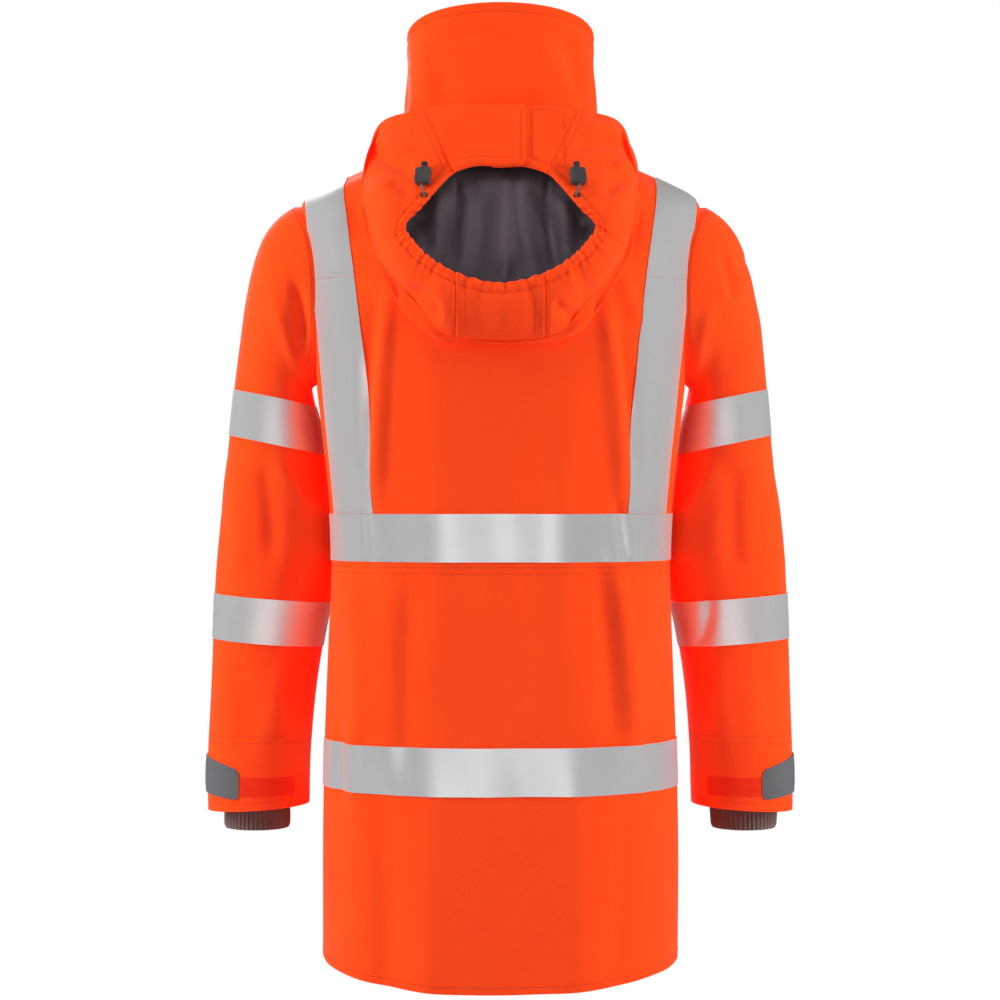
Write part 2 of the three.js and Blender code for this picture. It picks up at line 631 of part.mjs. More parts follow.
const sidePanel = (from, to) => clear(wall(panel(skinGrid, from, to), -CLOTH, 0));
add('hood_side_left', sidePanel(CHIN_SEAM, SIDE_SEAM), ORANGE);
add('hood_side_right', sidePanel(total - SIDE_SEAM, total - CHIN_SEAM), ORANGE);

const brim = sidePanel(SIDE_SEAM, total - SIDE_SEAM);
const beside = (x0, x1) => between(x0, x1, -BIG, BIG, -BIG, BIG);
const edge = BRIM_SEAM_X + GAP / 2;
add('hood_brim_left', brim.intersect(beside(edge, BIG)), ORANGE);
add('hood_brim_centre', brim.intersect(beside(GAP - edge, edge - GAP)), ORANGE);
add('hood_brim_right', brim.intersect(beside(-BIG, -edge)), ORANGE);

const chinGrid = panel(skinGrid, -CHIN_SEAM, CHIN_SEAM);
const flap = clear(wall(chinGrid, GAP, GAP + CLOTH)).intersect(beside(CHIN_EDGE_X, BIG));
const under = clear(wall(chinGrid, -CLOTH, 0)).intersect(beside(-BIG, CHIN_UNDER_X));
add('hood_chin_flap', flap, ORANGE);
add('hood_chin_right', under, ORANGE);

// Crown: from under the brim's fold, round the outline, and over the back to its middle.
const crownRim = loop((n, side) => vector(side * CROWN[n].x, CROWN[n].y, CROWN[n].z));
const crownEdge = loop((n, side) => {
  if (n < SIDE_SEAM - 1) return vector(side * CROWN[n].x, CROWN[n].y + 3, CROWN[n].z);
  const fold = HOOD[n];
  return vector(side * fold.foldX, fold.foldY - 4, fold.foldZ - 0.6);
});
const towards = (point, share, lift) => {
  const x = point.x + (HOOD_MIDDLE.x - point.x) * share;
  const z = point.z + (HOOD_MIDDLE.z - point.z) * share;
  return vector(x, backDepth(x, z) + lift, z);
};
const crownLoops = [
  crownEdge,
  crownRim,
  crownRim.map((point) => towards(point, 0.14, 3)),
  crownRim.map((point) => towards(point, 0.5, 2.6)),
];
const centre = (lift) => towards(vector(0, 0, HOOD_MIDDLE.z), 1, lift);
const crownGrid = withNormals(crownLoops, true, () => vector(0, 1, 0));
const crown = clear(cup(crownGrid, centre(2.6), -CLOTH / 2, CLOTH / 2));
const crownReach = clear(cup(crownGrid, centre(2.6), -CLOTH / 2 - GAP, CLOTH / 2 + GAP));
add('hood_crown', largest(crown.subtract(skin)), ORANGE);

// Lining: from the edge of the opening, back under the hood's cloth, and over the crown.
const opening = loop((n, side) => vector(side * HOOD[n].openX, HOOD[n].openY, HOOD[n].openZ));
const outFrom = (point, mm) => {
  const away = vector(point.x - HOOD_MIDDLE.x, 0, point.z - HOOD_MIDDLE.z).normalize();
  return point.clone().addScaledVector(away, mm);
};
const sink = (point, depth) => vector(point.x, point.y - depth, point.z);
const liningLoops = [
  opening.map((point) => sink(outFrom(point, 1.5), 3)),
  opening.map((point) => sink(outFrom(point, 5), 12)),
  opening.map((point) => towards(outFrom(point, 3), 0, 10)),
  opening.map((point) => towards(point, 0.5, 8)),
];
const liningGrid = withNormals(liningLoops, true, () => vector(0, 1, 0));
const lining = clear(cup(liningGrid, centre(8), -CLOTH / 2, CLOTH / 2));
add('hood_lining', largest(lining.subtract(skin)), DARK);

// Neck of the hood, round the collar to the storm flap.
sides.forEach(({ side, word }) => {
  const shares = [0, 0.33, 0.67, 1];
  const grid = shares.map((share) => HOOD_NECK.map((row) => {
    const foot = vector(side * row.footX, row.footY, row.footZ);
    const point = foot.lerp(vector(side * row.topX, row.topY, row.topZ), share);
    const bow = 4 * share * (1 - share) * 5;
    const out = vector(point.x, point.y, 0).normalize();
    return point.addScaledVector(out, bow);
  }));
  const normals = withNormals(grid, false, (p) => vector(p.x, p.y, 0));
  const neck = clear(wall(normals, -CLOTH, 0)).subtract(skin).subtract(crownReach);
  add(`hood_neck_${word}`, largest(neck), ORANGE);
});

// ---------------------------------------------------------------- drawcord ends

// Place on the hood's outer side nearest to a point seen from behind, with the surface's own
// directions there: across, up and out.
function hoodSeat(x, z) {
  let best = { miss: Infinity };
  for (let station = CHIN_SEAM; station < SIDE_SEAM; station += 0.04) {
    for (let out = 0; out <= 1; out += 0.02) {
      const point = hoodPoint(station, out);
      const miss = Math.hypot(point.x - x, point.z - z);
      if (miss < best.miss) best = { miss, station, out, point };
    }
  }
  const step = 0.12;
  const along = hoodPoint(best.station + step, best.out).sub(hoodPoint(best.station - step, best.out));
  const outward = hoodPoint(best.station, best.out + step).sub(hoodPoint(best.station, best.out - step));
  const normal = along.cross(outward).normalize();
  if (normal.y < 0) normal.negate();
  const up = vector(0, 0, 1).addScaledVector(normal, -normal.z).normalize();
  const across = up.clone().cross(normal);
  return { point: best.point, across, up, normal };
}

// Turns a geometry made flat (X across, Y up, Z out) onto a seat, moved by an amount up and out.
function seated(geometry, seat, side, across, up, out) {
  const { point, normal } = seat;
  const place = point.clone().addScaledVector(seat.across, across);
  place.addScaledVector(seat.up, up).addScaledVector(normal, out);
  const matrix = new THREE.Matrix4().makeBasis(seat.across, seat.up, normal).setPosition(place);
  geometry.applyMatrix4(matrix);
  return side > 0 ? solid(geometry) : solid(geometry).mirror([1, 0, 0]);
}

function roundedBox(width, height, deep, radius) {
  const shape = new THREE.Shape();
  const x = width / 2 - radius;
  const z = height / 2 - radius;
  shape.absarc(x, z, radius, 0, Math.PI / 2);
  shape.absarc(-x, z, radius, Math.PI / 2, Math.PI);
  shape.absarc(-x, -z, radius, Math.PI, 1.5 * Math.PI);
  shape.absarc(x, -z, radius, 1.5 * Math.PI, 2 * Math.PI);
  return new THREE.ExtrudeGeometry(shape, { depth: deep, bevelEnabled: false, curveSegments: 4 });
}

function washer(outer, inner, thick) {
  const shape = new THREE.Shape().absarc(0, 0, outer, 0, 2 * Math.PI);
  shape.holes.push(new THREE.Path().absarc(0, 0, inner, 0, 2 * Math.PI, true));
  return new THREE.ExtrudeGeometry(shape, { depth: thick, bevelEnabled: false, curveSegments: 8 });
}

const lockSeat = hoodSeat(LOCK.x, LOCK.z);
const eyeletSeat = hoodSeat(LOCK.x, EYELET.z);
sides.forEach(({ side, word }) => {
  const lock = roundedBox(LOCK.width, LOCK.height, LOCK.deep, LOCK.round);
  add(`cord_lock_${word}`, seated(lock, lockSeat, side, 0, 0, LOCK.stand), SMOKE);
  const plunger = new THREE.CylinderGeometry(PLUNGER.radius, PLUNGER.radius, PLUNGER.length, 16);
  const top = LOCK.height / 2 + PLUNGER.length / 2 + GAP;
  const middle = LOCK.stand + LOCK.deep / 2;
  add(`cord_plunger_${word}`, seated(plunger, lockSeat, side, 0, top, middle), SMOKE);
  const lockFoot = lockSeat.point.clone().addScaledVector(lockSeat.normal, middle);
  lockFoot.addScaledVector(lockSeat.up, -LOCK.height / 2 - 2 * GAP);
  const hole = eyeletSeat.point.clone();
  hole.addScaledVector(eyeletSeat.normal, EYELET.thick + 4 * GAP);
  const path = new THREE.CatmullRomCurve3([
    lockFoot,
    lockFoot.clone().addScaledVector(lockSeat.up, -CORD_LEAD),
    hole.clone().addScaledVector(eyeletSeat.normal, CORD_LEAD),
    hole,
  ]);
  const round = new THREE.Shape().absarc(0, 0, CORD_RADIUS, 0, 2 * Math.PI);
  const options = { steps: 8, extrudePath: path, curveSegments: 4 };
  const cord = solid(new THREE.ExtrudeGeometry(round, options));
  add(`cord_${word}`, side > 0 ? cord : cord.mirror([1, 0, 0]), GREY);
  const ring = washer(EYELET.outer, EYELET.inner, EYELET.thick);
  add(`cord_eyelet_${word}`, seated(ring, eyeletSeat, side, 0, 0, GAP), GREY);
});

export default coat;
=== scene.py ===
import math

import bpy
import numpy as np
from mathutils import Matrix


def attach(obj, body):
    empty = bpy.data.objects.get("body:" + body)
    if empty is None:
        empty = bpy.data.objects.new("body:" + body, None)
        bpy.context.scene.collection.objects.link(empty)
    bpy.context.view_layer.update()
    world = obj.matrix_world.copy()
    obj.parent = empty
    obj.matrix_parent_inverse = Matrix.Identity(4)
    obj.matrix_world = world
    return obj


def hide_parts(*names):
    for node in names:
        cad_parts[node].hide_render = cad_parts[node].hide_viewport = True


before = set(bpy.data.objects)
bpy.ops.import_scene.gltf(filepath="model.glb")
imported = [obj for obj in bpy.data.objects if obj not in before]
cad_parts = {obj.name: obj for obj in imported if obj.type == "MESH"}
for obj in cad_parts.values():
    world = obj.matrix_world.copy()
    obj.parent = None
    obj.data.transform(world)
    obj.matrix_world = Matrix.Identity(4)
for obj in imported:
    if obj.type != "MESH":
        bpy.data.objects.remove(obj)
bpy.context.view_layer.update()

# ---------------------------------------------------------------- camera, light and floor
# The coat stands as it is worn, seen square from behind, between two soft side lights in a pale
# room; the bright wall shows only mirrored, mostly in the tape. The floor lies below the hem.

FLOOR_Z = -1.25
CAMERA_PLACE = (0.0005, 2.549, -0.3285)
FLOOR_REACH = 30
ROOM_LIGHT = 0.2
LIGHTS_AIM = (0, 0, -0.35)


def table(columns, *rows):
    """Rows with named columns, each row a dictionary."""
    return [dict(zip(columns.split(), row)) for row in rows]


LIGHTS = table(
    "name at size watts lights_cloth mirrored",
    ("side_left", (2.1, 0.6, 0.3), (0.5, 1.5), 50, True, False),
    ("side_right", (-2.1, 0.7, 0.1), (0.5, 1.5), 44, True, False),
    ("overhead", (0.2, 1.1, 2.2), (1.2, 0.7), 15, True, False),
    ("front_fill", (0.7, -2.6, 0.9), (1.6, 1.6), 60, True, True),
    ("bright_wall", (0.1, 3.1, -0.5), (2.1, 2.1), 31, False, True),
)

scene = bpy.context.scene
scene.view_settings.view_transform = "Standard"
scene.view_settings.look = "None"


def aim(thing, target):
    """Turns a camera or light so that it looks from its place to the target, its top upwards."""
    away = np.subtract(target, thing.location)
    flat = math.hypot(away[0], away[1])
    thing.rotation_euler = (math.atan2(flat, -away[2]), 0, math.atan2(-away[0], away[1]))


def split_by_ray(tree, seen, lit, output):
    """Shows the camera one shader, and every other ray another, through a mix on the output."""
    path = tree.nodes.new("ShaderNodeLightPath")
    mix = tree.nodes.new("ShaderNodeMixShader")
    tree.links.new(path.outputs["Is Camera Ray"], mix.inputs["Fac"])
    tree.links.new(lit.outputs[0], mix.inputs[1])
    tree.links.new(seen.outputs[0], mix.inputs[2])
    tree.links.new(mix.outputs[0], tree.nodes.new(output).inputs["Surface"])


def emitter(tree, kind, *strength):
    """A plain white background or emission shader."""
    node = tree.nodes.new(kind)
    for socket, value in zip(("Color", "Strength"), ((1, 1, 1, 1), *strength)):
        node.inputs[socket].default_value = value
    return node


camera_data = bpy.data.cameras.new("camera")
camera_data.lens = 83.8
camera_data.sensor_width = 36
camera = bpy.data.objects.new("camera", camera_data)
camera.location = CAMERA_PLACE
aim(camera, (CAMERA_PLACE[0], 0, CAMERA_PLACE[2]))
scene.collection.objects.link(camera)
scene.camera = camera

for light in LIGHTS:
    data = bpy.data.lights.new(light["name"], "AREA")
    data.shape = "RECTANGLE"
    data.size, data.size_y = light["size"]
    data.energy = light["watts"]
    lamp = bpy.data.objects.new(light["name"], data)
    lamp.location = light["at"]
    aim(lamp, LIGHTS_AIM)
    lamp.visible_diffuse = light["lights_cloth"]
    lamp.visible_glossy = light["mirrored"]
    scene.collection.objects.link(lamp)

world = bpy.data.worlds.new("pale_room")
world.use_nodes = True
scene.world = world
tree = world.node_tree
tree.nodes.clear()
seen = emitter(tree, "ShaderNodeBackground", 1.0)
lit = emitter(tree, "ShaderNodeBackground", ROOM_LIGHT)
split_by_ray(tree, seen, lit, "ShaderNodeOutputWorld")

floor_mesh = bpy.data.meshes.new("floor")
corners = [(-1, -1), (1, -1), (1, 1), (-1, 1)]
floor_points = [(x * FLOOR_REACH, y * FLOOR_REACH, FLOOR_Z) for x, y in corners]
floor_mesh.from_pydata(floor_points, [], [(0, 1, 2, 3)])
floor_object = bpy.data.objects.new("floor", floor_mesh)
scene.collection.objects.link(floor_object)
floor_material = bpy.data.materials.new("pale_floor")
floor_material.use_nodes = True
tree = floor_material.node_tree
tree.nodes.clear()
matt = tree.nodes.new("ShaderNodeBsdfDiffuse")
matt.inputs["Color"].default_value = (0.5, 0.5, 0.5, 1)
split_by_ray(tree, emitter(tree, "ShaderNodeEmission"), matt, "ShaderNodeOutputMaterial")
floor_mesh.materials.append(floor_material)

# ---------------------------------------------------------------- back and fronts
# Three panels of fluorescent orange polyester, coated inside and lined, joined at the side and
# shoulder seams and open at the armholes. They fall straight from the shoulders to the hem,
# with long soft folds and a turned hem. Lengths in the tables are millimetres.

CLOTH = 1.6
PANEL_TOP = 60
BODY = table(
    "z half back front square",
    (-822, 193, 152, 150, 2.5), (-700, 193, 151, 150, 2.5), (-600, 191, 149.5, 148, 2.5),
    (-485, 187, 148, 145, 2.5), (-400, 184, 147, 143, 2.5), (-330, 187, 147.5, 143, 2.5),
    (-220, 199, 150, 143, 2.55), (-150, 209, 149, 138, 2.5), (-100, 216, 144, 130, 2.4),
    (-60, 221, 136, 120, 2.3), (-30, 223, 127, 110, 2.2), (-12, 221, 120, 103, 2.15),
    (0, 211, 113, 98, 2.1), (11, 191, 107, 95, 2.05), (20, 172, 101, 93, 2), (30, 150, 95, 92, 2),
    (42, 127, 88, 91, 2), (55, 110, 82, 91, 2), (70, 106.5, 79, 91, 2), (115, 105.5, 78, 91, 2),
    (201, 102, 76, 88, 2),
)
HEM_Z = -822
HEM_DROP = 17
HEM_LIFT_FROM = -640
RIM_BACK, RIM_SIDE, RIM_FRONT = 201, 178, 170
COLLAR_FOOT = 70
NECK_SEAM = {"height": 30, "slope": 0.24}

# Folds of the body: which face they are on (1 behind, -1 in front), from one place to another
# (x and height), how wide, how deep (ridges positive) and how far the middle bows sideways.
BODY_FOLDS = table(
    "face x z x2 z2 wide deep bow",
    (1, 113, -92, 129, -356, 8, 7.5, -4), (1, 131, -110, 141, -320, 7, -5.2, -3),
    (1, -104, -100, -128, -356, 9, 7.0, 5), (1, -121, -130, -143, -330, 7, -4.6, 3),
    (1, 66, -150, 62, -560, 24, 3.8, 3), (1, -64, -170, -60, -560, 26, 3.5, -4),
    (1, -6, -160, -14, -640, 30, -4.9, -5), (1, -116, -372, -140, -606, 10, 6.7, 4),
    (1, -98, -380, -117, -600, 10, -4.1, 4), (1, 160, -378, 152, -622, 13, 5.8, 5),
    (1, 92, -396, 97, -640, 14, -4.9, -4), (1, -18, -560, -40, -866, 26, -5.8, 3),
    (1, -70, -570, -76, -866, 18, 4.3, 4), (1, 70, -580, 74, -866, 20, 4.6, 3),
    (1, 128, -600, 119, -866, 16, -4.6, 4), (1, -134, -600, -122, -866, 16, -4.9, -4),
    (1, -122, -92, -147, -152, 8, 4.6, 1), (1, -142, -16, -134, -78, 8, -5.2, 2),
    (1, 158, -10, 146, -56, 9, -4.6, 1), (1, 141, -326, 136, -404, 5, -4.6, 0.5),
    (1, -119, -322, -133, -404, 5, -5.2, 0.5), (1, 172, -556, 170, -664, 6, -3.8, 0.5),
    (1, 151, -556, 153, -664, 7, 3.5, 0.5), (1, -158, -556, -156, -664, 6, -4.1, 0.5),
    (-1, 110, -100, 124, -345, 11, 5.5, 5), (-1, -114, -110, -126, -350, 12, 5.2, -5),
    (-1, 66, -140, 74, -350, 18, -3.8, 4), (-1, -62, -150, -70, -345, 20, -3.8, -5),
    (-1, 150, -30, 142, -120, 12, -4.3, 4), (-1, -148, -30, -140, -130, 12, -4.3, -4),
    (-1, 120, -380, 138, -620, 13, 5.2, 6), (-1, -116, -385, -132, -640, 14, 4.9, -6),
    (-1, 80, -400, 76, -840, 18, -4.3, 5), (-1, -84, -400, -74, -840, 20, -4.1, -6),
    (-1, 146, -560, 132, -860, 15, -4.3, 5), (-1, -140, -580, -130, -860, 15, -4.3, -4),
)


def read(rows, along, key, at):
    """A column's value between its rows: on each span a cubic that keeps the values at its two
    ends, and the slopes of the chords over their neighbours."""
    a = np.array([row[along] for row in rows], float)
    v = np.array([row[key] for row in rows], float)
    slope = np.gradient(v, a)
    slope[1:-1] = (v[2:] - v[:-2]) / (a[2:] - a[:-2])
    i = np.clip(np.searchsorted(a, at) - 1, 0, len(a) - 2)
    span = a[i + 1] - a[i]
    t = np.clip((at - a[i]) / span, 0, 1)
    lean = (1 + 2 * t) * (1 - t) ** 2 * v[i] + t * t * (3 - 2 * t) * v[i + 1]
    return lean + span * t * (1 - t) * ((1 - t) * slope[i] - t * slope[i + 1])


def smooth(low, high, at):
    """0 below low, 1 above high, and an S between, three t squared less two t cubed."""
    t = np.clip((at - low) / (high - low), 0, 1)
    return t * t * (3 - 2 * t)


def powered(value, exponent):
    """A value's size to a power, with the value's sign."""
    return np.sign(value) * np.abs(value) ** exponent


def stack(*columns):
    """Points from their x, y and z."""
    return np.stack(np.broadcast_arrays(*columns), axis=-1)


def unit(vectors):
    """Vectors over their lengths."""
    return vectors / np.maximum(np.linalg.norm(vectors, axis=-1, keepdims=True), 1e-9)


def folds_at(folds, across, along):
    """Height of all folds at a place: each is a bell across its line (deep times e to the minus
    square of the distance over the width), bowed sideways, that fades out at both ends."""
    total = np.zeros(np.broadcast(across, along).shape)
    for fold in folds:
        a, b, a2, b2 = (fold[key] for key in ("x", "z", "x2", "z2"))
        length = math.hypot(a2 - a, b2 - b)
        ua, ub = (a2 - a) / length, (b2 - b) / length
        t = ((across - a) * ua + (along - b) * ub) / length
        off = (across - a) * ub - (along - b) * ua
        off = off - fold["bow"] * 4 * np.clip(t, 0, 1) * (1 - np.clip(t, 0, 1))
        fade = smooth(-0.06, 0.3, t) * (1 - smooth(0.7, 1.06, t))
        total += fold["deep"] * np.exp(-((off / fold["wide"]) ** 2)) * fade
    return total


def folds_of_faces(folds, x, z, facing, low, high):
    """Height of the folds behind and in front, each weighted by how far the place faces there."""
    total = 0
    for face in (1, -1):
        there = [fold for fold in folds if fold["face"] == face]
        total = total + smooth(low, high, face * facing) * folds_at(there, x, z)
    return total


def body_height(share, z):
    """Height of a row there: the hem falls towards the middle of the back with the square of
    the cosine, and above the collar's foot the rows lean with the collar's edge."""
    facing = np.cos(2 * np.pi * share)
    low = np.clip((HEM_LIFT_FROM - z) / (HEM_LIFT_FROM - HEM_Z), 0, 1)
    body = z - HEM_DROP * low * np.maximum(facing, 0) ** 2
    behind = RIM_SIDE + (RIM_BACK - RIM_SIDE) * np.maximum(facing, 0) ** 0.8
    before = RIM_SIDE + (RIM_FRONT - RIM_SIDE) * np.maximum(-facing, 0)
    edge = np.where(facing > 0, behind, before)
    collar = COLLAR_FOOT + (z - COLLAR_FOOT) * (edge - COLLAR_FOOT) / (RIM_BACK - COLLAR_FOOT)
    return np.where(z <= COLLAR_FOOT, body, collar)


def body_base(share, z):
    """Point of the body's plain form: a superellipse round each height, x the half width times
    the sine and y the depth times the cosine, both raised to two over the squareness."""
    angle = 2 * np.pi * share
    roundness = 2 / read(BODY, "z", "square", z)
    back = read(BODY, "z", "back", z)
    front = read(BODY, "z", "front", z)
    depth = np.where(np.cos(angle) >= 0, back, front)
    x = read(BODY, "z", "half", z) * powered(np.sin(angle), roundness)
    y = depth * powered(np.cos(angle), roundness)
    return stack(x, y, body_height(share, z))


def grid_normals(points, ring=False):
    """Normals of a grid from its central differences; a ring's last column is its first."""
    along = np.gradient(points, axis=0)
    across = np.gradient(points, axis=1)
    if ring:
        wrapped = (points[:, 1] - points[:, -2]) / 2
        across[:, 0] = wrapped
        across[:, -1] = wrapped
    return unit(np.cross(across, along))


def body_folds(share, z):
    """Height of the folds of both faces, with a slow ripple that runs round the body."""
    x = body_base(share, z)[..., 0]
    turn = 2 * np.pi * share
    ripple = 0.7 * np.sin(9 * turn + z / 130) + 0.5 * np.sin(14 * turn - z / 95 + 1.3)
    folds = folds_of_faces(BODY_FOLDS, x, z, np.cos(turn), -0.05, 0.25)
    return (ripple + folds) * (1 - smooth(20, PANEL_TOP, z))


def body_surface(share, z, lift=0.0):
    """Point of the draped body: the plain form moved along its normal by the folds' height and
    a lift. The normal is worked out from points a little way round and up."""
    step_share, step_z = 0.0015, 1.5
    here = body_base(share, z)
    round_ = body_base(share + step_share, z) - body_base(share - step_share, z)
    up = body_base(share, z + step_z) - body_base(share, z - step_z)
    normal = unit(np.cross(up, round_))
    outward = np.sign(np.sum(normal[..., :2] * here[..., :2], axis=-1, keepdims=True))
    normal = normal * np.where(outward == 0, 1, outward)
    return here + normal * (body_folds(share, z) + lift)[..., None]


def even_heights(count, low, high):
    """Heights whose distances down the side of the body are equal, as running length of the
    outline of half widths."""
    z = np.linspace(low, high, 600)
    half = read(BODY, "z", "half", z)
    length = np.concatenate([[0], np.cumsum(np.hypot(np.diff(z), np.diff(half)))])
    return np.interp(np.linspace(0, length[-1], count), length, z)


def neck_height(share):
    """Height of the neck seam, where the body meets the plane that falls to the front."""
    z = np.full_like(share, NECK_SEAM["height"])
    for _ in range(12):
        z = NECK_SEAM["height"] + NECK_SEAM["slope"] * body_base(share, z)[..., 1]
    return z


def new_object(name, points, faces, uv=None, smooth_angle=50):
    """Mesh object from points in millimetres, with an optional UV for each point."""
    mesh = bpy.data.meshes.new(name)
    mesh.from_pydata((points.reshape(-1, 3) * 0.001).tolist(), [], faces)
    if uv is not None:
        corners = np.empty(len(mesh.loops), dtype=np.int32)
        mesh.loops.foreach_get("vertex_index", corners)
        layer = mesh.uv_layers.new(name="cloth")
        layer.data.foreach_set("uv", uv.reshape(-1, 2)[corners].astype(np.float32).ravel())
    mesh.validate()
    mesh.shade_smooth()
    mesh.set_sharp_from_angle(angle=math.radians(smooth_angle))
    thing = bpy.data.objects.new(name, mesh)
    scene.collection.objects.link(thing)
    return thing


def shell(name, points, wall, uv, keep=None, ring=False, cap=False, smooth_angle=50):
    """Closed wall under a grid: the grid's own points, the same points moved in along their
    normals by the wall, and a strip round every free edge. keep marks the quads that stay, and
    cap closes a ring's last row with a small disc on each face."""
    rows, cols = points.shape[:2]
    normals = grid_normals(points, ring)
    if ring:
        points, normals, uv = points[:, :-1], normals[:, :-1], uv[:, :-1]
        cols -= 1
    ids = np.arange(rows * cols).reshape(rows, cols)
    right = np.roll(ids, -1, axis=1) if ring else ids[:, 1:]
    left = ids if ring else ids[:, :-1]
    quads = np.stack([left[:-1], right[:-1], right[1:], left[1:]], axis=-1)
    quads = quads.reshape(-1, 4) if keep is None else quads[keep].reshape(-1, 4)
    edges = np.concatenate([quads[:, [0, 1]], quads[:, [1, 2]], quads[:, [2, 3]], quads[:, [3, 0]]])
    key = np.sort(edges, axis=1)
    code = key[:, 0].astype(np.int64) * rows * cols + key[:, 1]
    _, first, count = np.unique(code, return_index=True, return_counts=True)
    free = edges[first[count == 1]]
    under = rows * cols
    if cap:
        free = free[(free < under - cols).any(axis=1)]
    strip = np.stack([free[:, 1], free[:, 0], free[:, 0] + under, free[:, 1] + under], axis=-1)
    inner = quads[:, ::-1] + under
    faces = np.concatenate([quads, inner, strip])
    both = np.concatenate([points.reshape(-1, 3), (points - normals * wall).reshape(-1, 3)])
    uvs = np.concatenate([uv.reshape(-1, 2)] * 2)
    used = np.unique(faces)
    renumber = np.zeros(len(both), dtype=np.int64)
    renumber[used] = np.arange(len(used))
    faces = renumber[faces].tolist()
    if cap:
        faces.append(renumber[ids[-1]].tolist())
        faces.append(renumber[ids[-1, ::-1] + under].tolist())
    return new_object(name, both[used], faces, uvs[used], smooth_angle)


def piece_of(thing, material, slot_name, *replaced):
    """Gives a piece its material, and what it rides on and stands for; the slot name is not used."""
    thing.data.materials.append(material)
    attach(thing, "root")
    if replaced:
        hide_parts(*replaced)
    return thing


def run_of(points, axis):
    """Running length along an axis of a grid: the sum of the steps up to each point."""
    first = np.take(points, [0], axis=axis)
    return np.cumsum(np.linalg.norm(np.diff(points, axis=axis, prepend=first), axis=-1), axis=axis)


def uv_of(points):
    """UV in metres of cloth: running length across each row and up the middle column."""
    across = run_of(points, 1)
    across = across - across[:, across.shape[1] // 2][:, None]
    along = run_of(points, 0)
    along = np.broadcast_to(along[:, along.shape[1] // 2][:, None], across.shape)
    return np.stack([across, along], axis=-1) * 0.001


# A woven cloth's colour and relief, shared by the shell, lining, tape and cuffs: two crossed
# sets of threads from the piece's own UV, broken up by soft noise.
weave = bpy.data.node_groups.new("weave", "ShaderNodeTree")
for socket, way in (("Thread", "INPUT"), ("Mottle Scale", "INPUT"), ("Height", "OUTPUT"),
                    ("Mottle", "OUTPUT")):
    weave.interface.new_socket(socket, in_out=way, socket_type="NodeSocketFloat")
inside = weave.nodes.new("NodeGroupInput")
outside = weave.nodes.new("NodeGroupOutput")
uv_map = weave.nodes.new("ShaderNodeUVMap")
uv_map.uv_map = "cloth"
parts = weave.nodes.new("ShaderNodeSeparateXYZ")
weave.links.new(uv_map.outputs["UV"], parts.inputs[0])


def worked_out(operation, *sources):
    """Result of a sum in the weave group on other nodes' results."""
    node = weave.nodes.new("ShaderNodeMath")
    node.operation = operation
    for place, source in enumerate(sources):
        weave.links.new(source, node.inputs[place])
    return node.outputs[0]


waves = [worked_out("SINE", worked_out("MULTIPLY", parts.outputs[axis], inside.outputs["Thread"]))
         for axis in ("X", "Y")]
place = weave.nodes.new("ShaderNodeTexCoord")
mottle = weave.nodes.new("ShaderNodeTexNoise")
mottle.inputs["Detail"].default_value = 4
weave.links.new(place.outputs["Object"], mottle.inputs["Vector"])
weave.links.new(inside.outputs["Mottle Scale"], mottle.inputs["Scale"])
weave.links.new(worked_out("MULTIPLY", *waves), outside.inputs["Height"])
weave.links.new(mottle.outputs["Fac"], outside.inputs["Mottle"])


def cloth_material(name, dark, light, roughness, thread, mottle_scale, relief, **sockets):
    """Material of a woven cloth: colour between two tones by the mottle, weave as relief, and
    plain values on the shader's own sockets."""
    material = bpy.data.materials.new(name)
    material.use_nodes = True
    tree = material.node_tree
    shader = tree.nodes["Principled BSDF"]
    group = tree.nodes.new("ShaderNodeGroup")
    group.node_tree = weave
    group.inputs["Thread"].default_value = 2 * math.pi / thread
    group.inputs["Mottle Scale"].default_value = mottle_scale
    tones = tree.nodes.new("ShaderNodeMix")
    tones.data_type = "RGBA"
    tones.inputs["A"].default_value = (*dark, 1)
    tones.inputs["B"].default_value = (*light, 1)
    tree.links.new(group.outputs["Mottle"], tones.inputs["Factor"])
    tree.links.new(tones.outputs["Result"], shader.inputs["Base Color"])
    bump = tree.nodes.new("ShaderNodeBump")
    bump.inputs["Strength"].default_value = 0.35
    bump.inputs["Distance"].default_value = relief
    tree.links.new(group.outputs["Height"], bump.inputs["Height"])
    tree.links.new(bump.outputs["Normal"], shader.inputs["Normal"])
    shader.inputs["Roughness"].default_value = roughness
    for socket, value in sockets.items():
        shader.inputs[socket.replace("_", " ")].default_value = value
    return material


# Besides its own colour the orange has a faint red emission: a painted glow that keeps its shaded parts
# bright red.
shell_cloth = cloth_material(
    "fluorescent_orange_painted_glow", (0.92, 0.062, 0.0035), (1.0, 0.08, 0.005), 0.72, 0.0015, 16, 0.00012,
    Sheen_Weight=0.05, Sheen_Roughness=0.5, Emission_Color=(1.0, 0.012, 0.0, 1),
    Emission_Strength=0.2, Specular_IOR_Level=0.25,
)

# ---- sleeves' form, which the armholes need

SLEEVE = table(
    "n outX outZ inX inZ y deep",
    (0, 160, 4, 150, -205, -4, 84), (1, 205, -3, 188, -204, -6, 82),
    (2, 232, -12, 203, -203, -9, 80), (3, 255, -33, 208, -205, -13, 79),
    (4, 270, -64, 209, -208, -18, 79), (5, 281, -108, 208, -215, -26, 79),
    (6, 288, -155, 205, -228, -34, 78), (7, 295, -205, 200, -247, -42, 76),
    (8, 302, -262, 195, -281, -49, 74), (9, 308, -312, 189.5, -323, -55, 71),
    (10, 314, -370, 186, -377, -60, 68), (11, 318.5, -420, 187.5, -427, -63, 66),
    (12, 321.5, -465, 196, -470, -65, 64), (13, 324.5, -520, 204.5, -522, -66, 62),
    (14, 326.5, -575, 210.5, -573, -66, 60), (15, 327.5, -625, 214, -620, -66, 58),
    (16, 327.5, -674, 214.5, -667, -66, 57),
)
SLEEVE_SQUARE = 2.15
CUFF_END = 16


